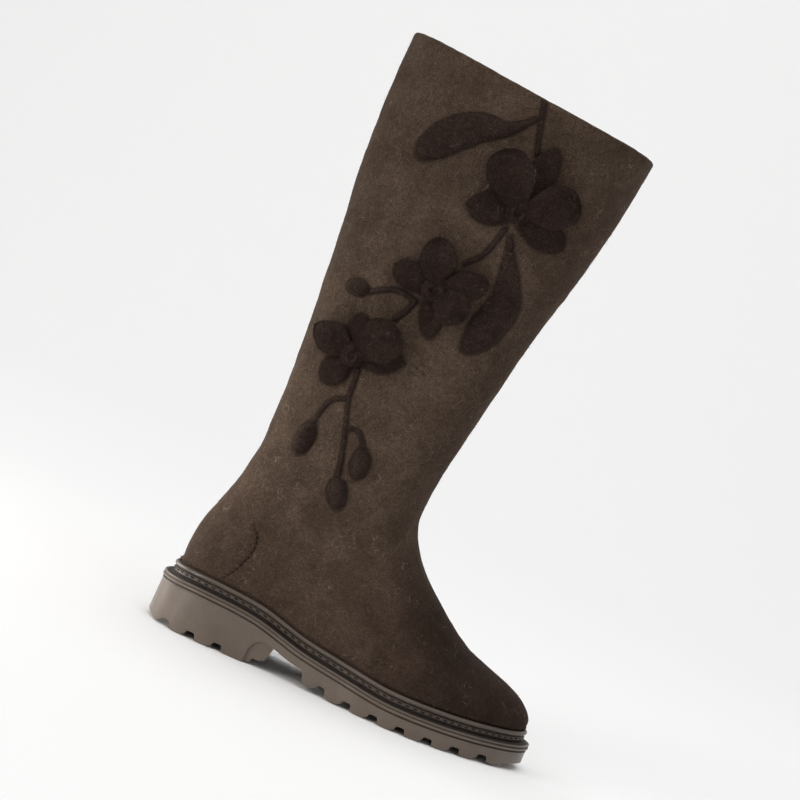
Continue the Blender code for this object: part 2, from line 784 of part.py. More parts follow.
def main():
    for thing in list(bpy.data.objects):
        bpy.data.objects.remove(thing)
    felt = material("brown_felt", (0.075, 0.048, 0.033), 0.95)
    rubber = material("brown_rubber", (0.09, 0.06, 0.042), 0.4)
    lining = material("insole_felt", (0.085, 0.06, 0.045), 0.95)
    dark = material("dark_felt", (0.03, 0.018, 0.014), 0.97)
    things = [make_upper(felt), make_outsole(rubber), make_welt(rubber), make_insole(lining)]
    things += make_flower_work(dark)
    centre_on_origin(things)


main()
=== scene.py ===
import math
from bisect import bisect_right

import bmesh
import bpy
import numpy as np
from mathutils import Matrix, Vector


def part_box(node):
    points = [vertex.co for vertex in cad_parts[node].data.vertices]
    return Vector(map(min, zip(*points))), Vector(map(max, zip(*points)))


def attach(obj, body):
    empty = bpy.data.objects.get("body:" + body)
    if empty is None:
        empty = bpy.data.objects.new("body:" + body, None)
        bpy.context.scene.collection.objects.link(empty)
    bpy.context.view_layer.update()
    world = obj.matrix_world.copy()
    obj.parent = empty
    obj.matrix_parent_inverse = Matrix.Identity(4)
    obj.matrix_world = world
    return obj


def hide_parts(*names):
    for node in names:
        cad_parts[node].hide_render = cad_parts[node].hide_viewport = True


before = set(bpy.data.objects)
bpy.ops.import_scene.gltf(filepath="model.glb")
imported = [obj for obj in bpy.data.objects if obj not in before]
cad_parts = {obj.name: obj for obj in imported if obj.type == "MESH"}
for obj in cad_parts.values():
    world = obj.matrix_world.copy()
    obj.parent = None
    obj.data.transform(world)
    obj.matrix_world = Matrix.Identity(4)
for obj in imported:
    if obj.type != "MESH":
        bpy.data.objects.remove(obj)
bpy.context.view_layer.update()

# The boot's own sizes, as the solids have them, in metres
SOLE_LENGTH, BALL_WIDTH, TOE_SWING = 0.277, 0.102, 0.008
ANKLE_HEIGHT, ANKLE_DEPTH, ANKLE_WIDTH, ANKLE_SETBACK = 0.146, 0.119, 0.084, 0.027
SHAFT_HEIGHT, COLLAR_DEPTH, COLLAR_WIDTH, COLLAR_SETBACK = 0.431, 0.1842, 0.100, 0.0115
COLLAR_DROP, COLLAR_DIP, ANKLE_DROP = 0.0175, 0.0022, 0.009
FELT, COLLAR_ROLL, GAP = 0.0045, 0.0012, 0.0003
HEEL_HEIGHT, FORE_HEIGHT, TOE_SPRING, SPRING_START = 0.0295, 0.0115, 0.003, 0.74
FLANGE_HEIGHT, LEDGE, WALL_STEP = 0.0042, 0.0046, 0.001
WELT_THICKNESS, WELT_HEIGHT, RIB_HEIGHT, WAIST_THICKNESS = 0.0024, 0.0084, 0.0033, 0.0064
HEEL_LENGTH, HEEL_BEVEL, HEEL_BEVEL_RISE = 0.0912, 0.018, 0.0069
HEEL_PANEL, HEEL_PANEL_DEPTH = 0.0162, 0.0016
TREAD_START, TREAD_ROCKER, ROCKER_LENGTH = 0.1165, 0.0041, 0.042
FIRST_LUG, LUG_DEPTH, LUG_PITCH = 0.0138, 0.0048, 0.0195
NOTCH_WIDTH, NOTCH_FLARE, NOTCH_REACH, MIDDLE_TREAD = 0.0066, 0.0018, 0.019, 0.022
FRONT_FULLNESS, BACK_FULLNESS = 0.30, 0.22
FLOWER_REACH, FLOWER_LEAN = 0.041, 3.0

# The scene's own sizes, in metres: how far a lug's bottom rises at its rear and front, how deep petals and
# pads go into the felt, and the lift below which a petal is felted onto the shaft all over
LUG_REAR, LUG_FRONT = 0.0012, 0.0026
PETAL_SUNK, PAD_SUNK, FELTED_DOWN = 0.0009, 0.0010, 0.0040

# Half a stem's breadth as a share of FLOWER_REACH, and how many short wool ends stand on a square millimetre
# of the felted pieces
STEM_HALF, NAP_DENSITY = 0.034, 0.55

# Stitches: how far apart they are, half their length and half their thickness
WELT_STITCH, SEAM_STITCH = (0.0056, 0.0017, 0.00042), (0.0036, 0.0012, 0.00038)

# The camera, as the photograph's: its turn from the boot's side and its roll in degrees, and in metres how
# far away and how high it is and how high it aims
CAMERA_TURN, CAMERA_ROLL, CAMERA_SHIFT = -0.1, 23.5, (-0.073, 0.003)
CAMERA_DISTANCE, CAMERA_HEIGHT, CAMERA_AIM = 1.4, 0.26, 0.215

# A height below the floor, down to which the underside's cutter goes
UNDER_FLOOR = -0.03

OUTLINE = [
    (0.00, 1.38, 1.38), (0.04, 1.32, 1.32), (0.13, 1.09, 1.09), (0.22, 0.865, 0.90), (0.34, 0.665, 0.80),
    (0.45, 0.62, 0.845), (0.56, 0.75, 0.98), (0.66, 0.93, 1.12), (0.74, 1.04, 1.17), (0.83, 1.10, 1.16),
    (0.92, 1.13, 1.145), (1.00, 1.19, 1.19),
]
SOLE_LINE = [
    (0.00, 0.93), (0.12, 1.01), (0.26, 0.86), (0.39, 0.40), (0.52, 0.16), (0.62, 0.01), (0.76, 0.00),
    (1.00, 0.00),
]
FOOT = [
    (0.0285, 0.305, 0.9750, 0.192, 1.00, 0.86, 0.00),
    (0.0290, 0.345, 0.9735, 0.229, 1.01, 0.86, 0.03),
    (0.0300, 0.390, 0.9610, 0.264, 1.00, 0.86, 0.07),
    (0.0325, 0.438, 0.9355, 0.305, 0.965, 0.86, 0.12),
    (0.0380, 0.493, 0.8920, 0.347, 0.91, 0.86, 0.20),
    (0.0460, 0.548, 0.8365, 0.380, 0.85, 0.86, 0.30),
    (0.0560, 0.603, 0.7780, 0.420, 0.80, 0.87, 0.42),
    (0.0660, 0.658, 0.7200, 0.484, 0.76, 0.88, 0.55),
    (0.0765, 0.719, 0.6620, 0.568, 0.72, 0.90, 0.68),
    (0.0840, 0.781, 0.6060, 0.654, 0.70, 0.93, 0.80),
    (0.0905, 0.847, 0.5660, 0.740, 0.69, 0.96, 0.90),
    (0.0955, 0.918, 0.5370, 0.836, 0.69, 0.98, 0.97),
]
LEG = [
    (0.00, 0.00, 0.00, 0.00, 0.0), (0.12, 0.02, 0.07, 0.08, 0.0), (0.25, 0.15, 0.20, 0.22, 0.0),
    (0.38, 0.34, 0.33, 0.37, 0.0), (0.52, 0.57, 0.485, 0.53, 0.0), (0.66, 0.84, 0.68, 0.69, 0.0),
    (0.80, 0.98, 0.84, 0.83, 0.0), (0.91, 1.00, 0.93, 0.94, 0.0), (1.00, 0.97, 1.00, 1.00, 1.0),
]


def smooth(rows, at):
    """A table's columns between its rows, on a cubic through them. The first column is the place."""
    low = min(max(bisect_right([row[0] for row in rows], at) - 1, 0), len(rows) - 2)
    before, after = rows[max(low - 1, 0)], rows[min(low + 2, len(rows) - 1)]
    first, second = rows[low], rows[low + 1]
    span = second[0] - first[0]
    t = min(max((at - first[0]) / span, 0.0), 1.0)
    columns = []
    for a, b, c, d in zip(before, first, second, after):
        slope_b = span * (c - a) / (second[0] - before[0])
        slope_c = span * (d - b) / (after[0] - first[0])
        bend = (2 * t**3 - 3 * t**2 + 1) * b + (3 * t**2 - 2 * t**3) * c
        columns.append(bend + (t**3 - 2 * t**2 + t) * slope_b + (t**3 - t**2) * slope_c)
    return columns


def mix(a, b, share):
    return a + (b - a) * share


def ease(x):
    x = np.clip(x, 0.0, 1.0)
    return x * x * (3 - 2 * x)


def circle(count):
    return np.linspace(0, 2 * math.pi, count, endpoint=False)


def unit(vectors):
    return vectors / np.linalg.norm(vectors, axis=-1, keepdims=True)


def turned(x, z, degrees):
    """Two lengths seen from the side, turned by an angle."""
    c, s = math.cos(math.radians(degrees)), math.sin(math.radians(degrees))
    return x * c - z * s, x * s + z * c


SOLE_X = np.linspace(-0.02, SOLE_LENGTH + 0.02, 800)
SOLE_RISE = np.array([smooth(SOLE_LINE, min(max(x / SOLE_LENGTH, 0), 1))[1] for x in SOLE_X])


def spring(along):
    return np.maximum(0.0, (along - SPRING_START) / (1 - SPRING_START)) ** 2


def flange_base(x):
    rise = np.interp(x, SOLE_X, SOLE_RISE)
    return mix(FORE_HEIGHT, HEEL_HEIGHT, rise) + TOE_SPRING * spring(x / SOLE_LENGTH)


def seat(x):
    return flange_base(x) + FLANGE_HEIGHT


def edge(angle):
    along = (1 - math.cos(angle)) / 2
    _, medial, lateral = smooth(OUTLINE, along)
    side = math.sin(angle)
    half = lateral if side > 0 else medial
    swing = TOE_SWING * max(0.0, (along - 0.55) / 0.45) ** 1.6
    return along * SOLE_LENGTH, swing - BALL_WIDTH / 2 * half * side


TURN = np.linspace(0, 2 * math.pi, 2881)
EDGE = np.array([edge(a) for a in TURN])
WAY = unit(np.array([edge(a + 0.01) for a in TURN]) - np.array([edge(a - 0.01) for a in TURN]))


def plan(angle, inset):
    """x and y of the flange's edge at angles, moved inwards by the inset."""
    a = np.mod(angle, 2 * math.pi)
    ex, ey = np.interp(a, TURN, EDGE[:, 0]), np.interp(a, TURN, EDGE[:, 1])
    wx, wy = np.interp(a, TURN, WAY[:, 0]), np.interp(a, TURN, WAY[:, 1])
    return ex - wy * inset, ey + wx * inset


def stations():
    """The felt's sections, up from the cup in the welt: inset, back x and z, front x and z, how far the foot
    narrows, the width, how oval it is and how far its sides dip."""
    hidden = WALL_STEP + LEDGE + WELT_THICKNESS + GAP
    top = WELT_HEIGHT + 2 * GAP
    swollen = (hidden - 0.7 * WELT_THICKNESS, top + 0.5 * WELT_THICKNESS)
    rows = []
    for inset, height in ((hidden, GAP), (hidden, top), swollen):
        heel, toe = inset, SOLE_LENGTH - inset
        rows.append((inset, heel, seat(heel) + height, toe, seat(toe) + height, 1.0, ANKLE_WIDTH, 0.0, 0.0))
    for back_along, back_up, front_along, front_up, narrow, width, oval in FOOT:
        back = (back_along * SOLE_LENGTH, back_up * ANKLE_HEIGHT)
        front = (front_along * SOLE_LENGTH, front_up * ANKLE_HEIGHT)
        rows.append((hidden - WELT_THICKNESS, *back, *front, narrow, width * ANKLE_WIDTH, oval, 0.0))
    for up, back_share, front_share, width_share, dip in LEG:
        rise = mix(ANKLE_HEIGHT, SHAFT_HEIGHT, up)
        back = (mix(ANKLE_SETBACK, COLLAR_SETBACK, back_share), rise)
        front_x = mix(ANKLE_SETBACK + ANKLE_DEPTH, COLLAR_SETBACK + COLLAR_DEPTH, front_share)
        front = (front_x, rise - mix(ANKLE_DROP, COLLAR_DROP, up))
        width = mix(ANKLE_WIDTH, COLLAR_WIDTH, width_share)
        rows.append((0.0, *back, *front, FOOT[-1][4], width, 1.0, dip * COLLAR_DIP))
    return [(i, *row) for i, row in enumerate(rows)]


STATIONS = stations()
LAST = len(STATIONS) - 1
FIRST_LEG = LAST + 1 - len(LEG)
LEVELS = np.linspace(0, LAST, LAST * 60 + 1)
BETWEEN = np.array([smooth(STATIONS, level)[1:] for level in LEVELS])

# Where the solids stand, measured on the sole: its heel is at x = 0 in the tables
SHIFT = np.array([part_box("outsole")[0][0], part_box("outsole")[0][1] - EDGE[:, 1].min(), 0.0])


def felt(level, angle):
    """Points of the felt's outer face at levels and angles, in the row frame."""
    columns = [np.interp(level, LEVELS, BETWEEN[:, k]) for k in range(9)]
    inset, back_x, back_z, front_x, front_z, narrow, width, oval, dip = columns
    x, y = plan(angle, inset)
    heel, toe = inset, SOLE_LENGTH - inset
    share = (x - heel) / (toe - heel)
    bow = flange_base(x) - mix(flange_base(heel), flange_base(toe), share)
    around = (1 - np.cos(angle)) / 2
    front, back = np.maximum(0.0, 2 * around - 1) ** 2, np.maximum(0.0, 1 - 2 * around) ** 2
    oval_y = -width / 2 * np.sin(angle) * (1 + FRONT_FULLNESS * front + BACK_FULLNESS * back)
    along = mix(share, around, oval)
    out_z = mix(back_z, front_z, along) + (1 - oval) * bow - dip * np.sin(angle) ** 2
    return np.stack([mix(back_x, front_x, along), mix(y * narrow, oval_y, oval), out_z], axis=-1) + SHIFT


def felt_normal(level, angle, reach=0.5):
    low, high = np.maximum(level - reach, 0.0), np.minimum(level + reach, LAST)
    rise = felt(high, angle) - felt(low, angle)
    way = felt(level, angle + 0.02) - felt(level, angle - 0.02)
    return unit(np.cross(way, rise))


def narrowed(low, high, is_below):
    """Halve ranges, many at once, towards where is_below stops being true."""
    for _ in range(18):
        middle = (low + high) / 2
        below = is_below(middle)
        low, high = np.where(below, middle, low), np.where(below, high, middle)
    return (low + high) / 2


def level_at(angle, z):
    """The levels at which the felt is at heights z, at angles on it."""
    low, high = np.full_like(angle, 2.0), np.full_like(angle, float(LAST))
    return narrowed(low, high, lambda level: felt(level, angle)[..., 2] < z)


def side_place(x, z):
    """Angles and levels of the felt's outer side at places seen from the side."""
    low, high = np.full_like(x, 0.02), np.full_like(x, math.pi - 0.02)
    angle = narrowed(low, high, lambda angle: felt(level_at(angle, z), angle)[..., 0] - SHIFT[0] < x)
    return angle, level_at(angle, z)


def shaft(around, up, out, raised=None):
    """Points over the shaft's outer side, where around and up are shares of its depth and height. What is
    raised leans from straight out to straight sideways, as the flowers do."""
    angle = np.arccos(1 - 2 * np.clip(around, 0.004, 0.996))
    level = level_at(angle, up * SHAFT_HEIGHT)
    normal = felt_normal(level, angle)
    points = felt(level, angle) + normal * np.asarray(out)[..., None]
    if raised is None:
        return points
    return points + unit(normal + np.array([0.0, -FLOWER_LEAN, 0.0])) * np.asarray(raised)[..., None]


def shaft_depth(up):
    share = np.clip((up * SHAFT_HEIGHT - ANKLE_HEIGHT) / (SHAFT_HEIGHT - ANKLE_HEIGHT), 0.0, 1.0)
    return mix(ANKLE_DEPTH, COLLAR_DEPTH, share)


def beside(around, up, along, above, out, raised=None):
    """Shaft points moved by two lengths as seen from the side."""
    return shaft(around + along / shaft_depth(up), up + above / SHAFT_HEIGHT, out, raised)


class Lumps:
    """Smooth noise from -1 to 1 on a seeded lattice that repeats."""

    def __init__(self, seed):
        self.lattice = np.random.default_rng(seed).uniform(-1, 1, (32, 32, 32))

    def __call__(self, points, size):
        q = points / size
        whole = np.floor(q).astype(int)
        x, y, z = np.moveaxis(ease(q - whole), -1, 0)
        i, j, k = np.moveaxis(whole, -1, 0) % 32
        i2, j2, k2 = (i + 1) % 32, (j + 1) % 32, (k + 1) % 32
        g = self.lattice
        low = mix(mix(g[i, j, k], g[i2, j, k], x), mix(g[i, j2, k], g[i2, j2, k], x), y)
        high = mix(mix(g[i, j, k2], g[i2, j, k2], x), mix(g[i, j2, k2], g[i2, j2, k2], x), y)
        return mix(low, high, z)


lumps = Lumps(7)


# Meshes


def add_object(name, mesh, material):
    mesh.materials.append(material)
    thing = bpy.data.objects.new(name, mesh)
    bpy.context.scene.collection.objects.link(thing)
    return thing


def add_mesh(name, points, faces, material):
    mesh = bpy.data.meshes.new(name)
    mesh.from_pydata(np.asarray(points, dtype=float).tolist(), [], faces)
    mesh.update()
    mesh.shade_smooth()
    thing = add_object(name, mesh, material)
    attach(thing, "root")
    return thing


def mark(thing, name, values):
    """A value at each point of a mesh, which its material reads."""
    attribute = thing.data.attributes.new(name, "FLOAT", "POINT")
    attribute.data.foreach_set("value", np.asarray(values, dtype=float))


def ring_faces(rows, count, closed=False):
    """Quads between rows of a grid whose columns go round."""
    i = np.arange(rows if closed else rows - 1)[:, None]
    j = np.arange(count)[None, :]
    i2, j2 = (i + 1) % rows, (j + 1) % count
    quads = np.stack([i * count + j, i * count + j2, i2 * count + j2, i2 * count + j], axis=-1)
    return quads.reshape(-1, 4).tolist()


def tube_faces(rows, count):
    """The faces of a tube of rings, with its two ends."""
    ends = [tuple(range(count))[::-1], tuple(range((rows - 1) * count, rows * count))]
    return ring_faces(rows, count) + ends


def pillow(top, under):
    """Points and faces of a closed body with two sides, each a grid of rows and columns of points."""
    rows, columns = top.shape[:2]
    points = np.concatenate([top.reshape(-1, 3), under.reshape(-1, 3)])
    half = rows * columns
    faces = []
    for a in (i * columns + j for i in range(rows - 1) for j in range(columns - 1)):
        b = half + a
        faces.append((a, a + 1, a + 1 + columns, a + columns))
        faces.append((b, b + columns, b + 1 + columns, b + 1))
    rim = list(range(columns)) + [i * columns - 1 for i in range(2, rows + 1)]
    rim += [(rows - 1) * columns + j for j in range(columns - 2, -1, -1)]
    rim += [i * columns for i in range(rows - 2, 0, -1)]
    faces += [(b, a, half + a, half + b) for a, b in zip(rim, rim[1:] + rim[:1])]
    return points, faces


def join(parts):
    """Several sets of points and faces as one."""
    points, faces, count = [], [], 0
    for part_points, part_faces in parts:
        points.append(part_points)
        faces += [tuple(k + count for k in face) for face in part_faces]
        count += len(part_points)
    return np.concatenate(points), faces


# Materials


class Surface:
    """A material whose nodes are made one after another."""

    def __init__(self, name):
        self.material = bpy.data.materials.new(name)
        self.material.use_nodes = True
        self.tree = self.material.node_tree
        self.shader = self.tree.nodes["Principled BSDF"]
        self.coords = self.node("ShaderNodeTexCoord").outputs["Object"]

    def put(self, socket, value):
        """Link what comes from another node, and set anything else on the socket itself."""
        if isinstance(value, bpy.types.NodeSocket):
            self.tree.links.new(value, socket)
        else:
            socket.default_value = (*value, 1) if isinstance(value, tuple) else value

    def node(self, kind, inputs=None, **settings):
        made = self.tree.nodes.new(kind)
        for key, value in settings.items():
            setattr(made, key, value)
        for key, value in (inputs or {}).items():
            self.put(made.inputs[key], value)
        return made

    def noise(self, scale, detail=2.0, rough=0.5, distortion=0.0):
        inputs = {"Scale": scale, "Detail": detail, "Roughness": rough, "Distortion": distortion}
        return self.node("ShaderNodeTexNoise", {"Vector": self.coords, **inputs}).outputs["Fac"]

    def ramp(self, value, stops):
        made = self.node("ShaderNodeValToRGB", {"Fac": value})
        elements = made.color_ramp.elements
        while len(elements) < len(stops):
            elements.new(0.5)
        for element, (place, colour) in zip(elements, stops):
            element.position = place
            element.color = (*colour, 1) if isinstance(colour, tuple) else (colour, colour, colour, 1)
        return made.outputs["Color"]

    def math(self, kind, a, b=0.0):
        return self.node("ShaderNodeMath", {0: a, 1: b}, operation=kind).outputs[0]

    def mix(self, share, a, b, kind="MIX"):
        return self.node("ShaderNodeMix", {0: share, 6: a, 7: b}, data_type="RGBA", blend_type=kind).outputs[2]

    def attribute(self, name):
        return self.node("ShaderNodeAttribute", attribute_name=name).outputs["Fac"]

    def bump(self, *layers):
        """Bumps on top of each other: (height, strength, distance)."""
        below = {}
        for height, strength, distance in layers:
            inputs = {"Height": height, "Strength": strength, "Distance": distance, **below}
            below = {"Normal": self.node("ShaderNodeBump", inputs).outputs["Normal"]}
        self.finish(below)

    def finish(self, inputs):
        for key, value in inputs.items():
            self.put(self.shader.inputs[key], value)


# What is left of the felt's colour under the deepest painted shade: the toe, the front of the foot and the
# seam
PAINTED_SHADE_TINT = (0.32, 0.28, 0.30)

# Painted shade in the rubber's grooves and recesses
GROOVE_PAINTED_SHADE = (0.018, 0.0115, 0.0084)


def wool(name, dark, light, speck, halo_colour=None, grain=1.0, sheen=0.08):
    """Felt: blotches, grain, thin curly fibres and, on the shaft, dark wool worked in around the flowers and
    painted shade where the mesh's shade values mark it.
    """
    surface = Surface(name)
    blotch = surface.noise(42.0, 5.0, 0.62, 0.5)
    fleck = surface.noise(300.0, 4.0, 0.7)
    fine = surface.noise(1000.0, 2.0, 0.65)
    colour = surface.ramp(blotch, [(0.33, dark), (0.68, light)])
    for grains, stops in (
        (fleck, [(0.28, 0.62), (0.50, 1.0), (0.72, 1.40)]),
        (fine, [(0.30, 0.45), (0.50, 1.0), (0.70, 1.75)]),
    ):
        colour = surface.mix(0.62 * grain, colour, surface.ramp(grains, stops), "MULTIPLY")
    wander = surface.noise(120.0, 2.0, 0.5, 1.2)
    apart = surface.math("ABSOLUTE", surface.math("SUBTRACT", wander, 0.5))
    thread = surface.ramp(apart, [(0.0, 1.0), (0.012, 0.0)])
    broken = surface.ramp(surface.noise(55.0), [(0.52, 0.0), (0.62, 1.0)])
    thread = surface.math("MULTIPLY", thread, broken)
    colour = surface.mix(surface.math("MULTIPLY", thread, 0.35), colour, speck)
    if halo_colour:
        near = surface.attribute("halo")
        frayed = surface.math("MULTIPLY", surface.math("SUBTRACT", fleck, 0.5), 1.6)
        halo = surface.ramp(surface.math("ADD", near, frayed), [(0.30, 0.0), (0.95, 0.80)])
        halo = surface.math("MULTIPLY", halo, surface.ramp(near, [(0.02, 0.0), (0.35, 1.0)]))
        colour = surface.mix(halo, colour, halo_colour)
        # Painted shade: the shade values darken the felt low down, at the toe, the front, the heel, the seam
        # and inside
        colour = surface.mix(surface.attribute("shade"), colour, PAINTED_SHADE_TINT, "MULTIPLY")
    surface.finish({"Base Color": colour, "Roughness": 0.95, "Specular IOR Level": 0.06})
    surface.finish({"Sheen Weight": sheen, "Sheen Roughness": 0.45, "Sheen Tint": (0.55, 0.44, 0.36)})
    surface.bump((fleck, 0.55, 0.0010), (fine, 0.65, 0.0006), (thread, 0.5, 0.0003))
    return surface.material


def rubber(name, base, worn):
    """Moulded rubber: clouded and scuffed, with painted shade in the grooves and recesses that the mesh's
    groove values mark.
    """
    surface = Surface(name)
    cloud = surface.noise(34.0, 4.0, 0.6)
    grit = surface.noise(900.0, 2.0, 0.6)
    scuff = surface.noise(160.0, 4.0, 0.7, 0.6)
    colour = surface.ramp(cloud, [(0.35, base), (0.70, worn)])
    colour = surface.mix(0.30, colour, surface.ramp(grit, [(0.3, 0.75), (0.7, 1.25)]), "MULTIPLY")
    # Painted shade: the groove values darken grooves, recesses and the flange's ledge and dull their gloss
    groove = surface.attribute("groove")
    rough = surface.ramp(scuff, [(0.35, 0.34), (0.70, 0.48)])
    surface.finish({
        "Base Color": surface.mix(groove, colour, GROOVE_PAINTED_SHADE),
        "Roughness": surface.mix(groove, rough, (0.9, 0.9, 0.9)),
        "Specular IOR Level": 0.62,
    })
    surface.bump((cloud, 0.10, 0.002), (scuff, 0.10, 0.0004), (grit, 0.16, 0.00015))
    return surface.material


def plain(name, colour, roughness):
    """One mottled colour, for thread and fibres."""
    surface = Surface(name)
    dark, light = (tuple(share * c for c in colour) for share in (0.75, 1.25))
    mottled = surface.ramp(surface.noise(600.0), [(0.3, dark), (0.7, light)])
    surface.finish({"Base Color": mottled, "Roughness": roughness, "Specular IOR Level": 0.06})
    return surface.material


DARK_WOOL = (0.0200, 0.0125, 0.0100)
PALE_SPECK, DARK_SPECK = (0.30, 0.25, 0.20), (0.12, 0.10, 0.08)
felt_material = wool("felt", (0.0475, 0.0320, 0.0222), (0.0790, 0.0538, 0.0387), PALE_SPECK, DARK_WOOL)
petal_material = wool(
    "dark_wool", (0.0170, 0.0102, 0.0083), (0.0265, 0.0170, 0.0138), DARK_SPECK, grain=1.3, sheen=0.05
)
thin_material = wool(
    "thin_dark_wool", (0.0215, 0.0132, 0.0108), (0.0335, 0.0218, 0.0178), DARK_SPECK, grain=1.3, sheen=0.05
)
insole_material = wool("insole_wool", (0.070, 0.048, 0.034), (0.10, 0.072, 0.052), (0.25, 0.2, 0.15))
rubber_material = rubber("rubber", (0.084, 0.060, 0.043), (0.116, 0.086, 0.064))
welt_material = rubber("welt_rubber", (0.056, 0.038, 0.027), (0.078, 0.054, 0.039))
thread_material = plain("thread", (0.012, 0.008, 0.006), 0.8)
hair_material = plain("pale_fibre", (0.30, 0.235, 0.18), 0.7)
fuzz_material = plain("brown_fibre", (0.105, 0.072, 0.050), 0.9)
dark_fuzz_material = plain("dark_fibre", (0.036, 0.023, 0.019), 0.9)


# The spray's tables, close to the solids' own: places are shares of the shaft's depth and height. A petal has
# a direction in degrees, a reach and half a breadth in shares of FLOWER_REACH, how high it stands, how
# pointed its tip is, how deep it is cupped and how high its root is. Leaves, buds and stems are lines of
# places, and the first two have half a breadth at each. A lip has a direction and a size.
FLOWERS = {
    "flower_top": (
        (0.655, 0.803),
        [
            (88, 1.14, 0.235, 0.0026, 0.55, 0.0004, 0.0004),
            (195, 0.77, 0.270, 0.0024, 0.80, 0.0004, 0.0004),
            (-17, 0.88, 0.255, 0.0026, 0.25, 0.0004, 0.0004),
            (127, 1.00, 0.345, 0.0078, 0.05, 0.0030, 0.0026),
            (34, 0.86, 0.350, 0.0072, 0.0, 0.0032, 0.0026),
        ],
    ),
    "flower_middle": (
        (0.507, 0.644),
        [
            (109, 0.83, 0.285, 0.0064, 0.40, 0.0020, 0.0022),
            (170, 0.73, 0.225, 0.0026, 0.05, 0.0004, 0.0004),
            (-71, 0.78, 0.195, 0.0024, 0.70, 0.0004, 0.0004),
            (-21, 0.67, 0.285, 0.0076, 0.05, 0.0026, 0.0026),
            (31, 0.80, 0.255, 0.0064, 0.25, 0.0018, 0.0024),
        ],
    ),
    "flower_low": (
        (0.284, 0.504),
        [
            (100, 0.66, 0.195, 0.0024, 0.35, 0.0004, 0.0004),
            (14, 0.84, 0.225, 0.0024, 0.75, 0.0004, 0.0004),
            (241, 0.65, 0.235, 0.0024, 0.20, 0.0004, 0.0004),
            (165, 0.74, 0.275, 0.0052, 0.45, 0.0018, 0.0024),
            (48, 0.83, 0.355, 0.0078, 0.0, 0.0030, 0.0026),
        ],
    ),
}
LIPS = {"flower_top": (262, 0.0062), "flower_middle": (215, 0.0055), "flower_low": (292, 0.0055)}
LEAVES = {
    "leaf_upper": [
        (0.551, 0.944, 0.035), (0.520, 0.929, 0.055), (0.475, 0.912, 0.105), (0.425, 0.904, 0.180),
        (0.375, 0.896, 0.240), (0.315, 0.877, 0.285), (0.266, 0.854, 0.265), (0.236, 0.835, 0.185),
        (0.222, 0.823, 0.065),
    ],
    "leaf_lower": [
        (0.674, 0.764, 0.040), (0.700, 0.745, 0.065), (0.722, 0.729, 0.105), (0.768, 0.695, 0.185),
        (0.800, 0.659, 0.265), (0.790, 0.623, 0.290), (0.778, 0.600, 0.225), (0.760, 0.584, 0.125),
        (0.750, 0.577, 0.050),
    ],
}
BUDS = {
    "bud_middle": [
        (0.233, 0.6020, 0.050), (0.213, 0.6025, 0.112), (0.184, 0.6020, 0.137), (0.156, 0.6005, 0.105),
        (0.141, 0.5990, 0.038),
    ],
    "bud_back": [
        (0.241, 0.3835, 0.055), (0.236, 0.3740, 0.120), (0.230, 0.3590, 0.158), (0.226, 0.3430, 0.132),
        (0.223, 0.3310, 0.044),
    ],
    "bud_front": [
        (0.549, 0.3770, 0.055), (0.556, 0.3680, 0.120), (0.567, 0.3550, 0.156), (0.575, 0.3410, 0.122),
        (0.579, 0.3320, 0.044),
    ],
    "bud_low": [
        (0.492, 0.3215, 0.060), (0.502, 0.3110, 0.140), (0.510, 0.2990, 0.170), (0.514, 0.2870, 0.135),
        (0.513, 0.2780, 0.048),
    ],
}
STEMS = {
    "stem_top": [(0.541, 0.975), (0.560, 0.952), (0.580, 0.928), (0.613, 0.892)],
    "stem_upper": [(0.642, 0.775), (0.630, 0.742), (0.613, 0.720), (0.566, 0.697)],
    "stem_bud": [(0.240, 0.6022), (0.300, 0.6140), (0.360, 0.6220), (0.433, 0.6195), (0.456, 0.615)],
    "stem_middle": [(0.456, 0.620), (0.436, 0.600), (0.420, 0.590), (0.390, 0.573)],
    "stem_low": [(0.340, 0.490), (0.358, 0.441), (0.404, 0.402), (0.452, 0.362), (0.489, 0.322)],
    "stem_back": [(0.358, 0.438), (0.300, 0.432), (0.266, 0.420), (0.249, 0.403), (0.241, 0.384)],
    "stem_front": [(0.412, 0.396), (0.470, 0.400), (0.512, 0.393), (0.549, 0.376)],
}


# The felt upper


def spray_distance(around, up):
    """How far places on the shaft are from the nearest felted piece, in metres, negative inside it."""
    nearest = np.full(around.shape, 1.0)
    depth = shaft_depth(up)
    for (flower_around, flower_up), petals in FLOWERS.values():
        for turn, reach, breadth, *_ in petals:
            dx, dz = (around - flower_around) * depth, (up - flower_up) * SHAFT_HEIGHT
            out, across = turned(dx, dz, -turn)
            length, half = reach * FLOWER_REACH * 0.5, breadth * FLOWER_REACH
            r = np.hypot((out - length) / length, across / half)
            nearest = np.minimum(nearest, (r - 1) * (length + half) / 2)
    stems = [[(a, u, STEM_HALF) for a, u in rows] for rows in STEMS.values()]
    for rows in (*LEAVES.values(), *BUDS.values(), *stems):
        table = [(i, *row) for i, row in enumerate(rows)]
        for i in np.linspace(0, len(rows) - 1, 8 * len(rows)):
            _, a, u, half = smooth(table, i)
            far = np.hypot((around - a) * depth, (up - u) * SHAFT_HEIGHT) - half * FLOWER_REACH
            nearest = np.minimum(nearest, far)
    return nearest


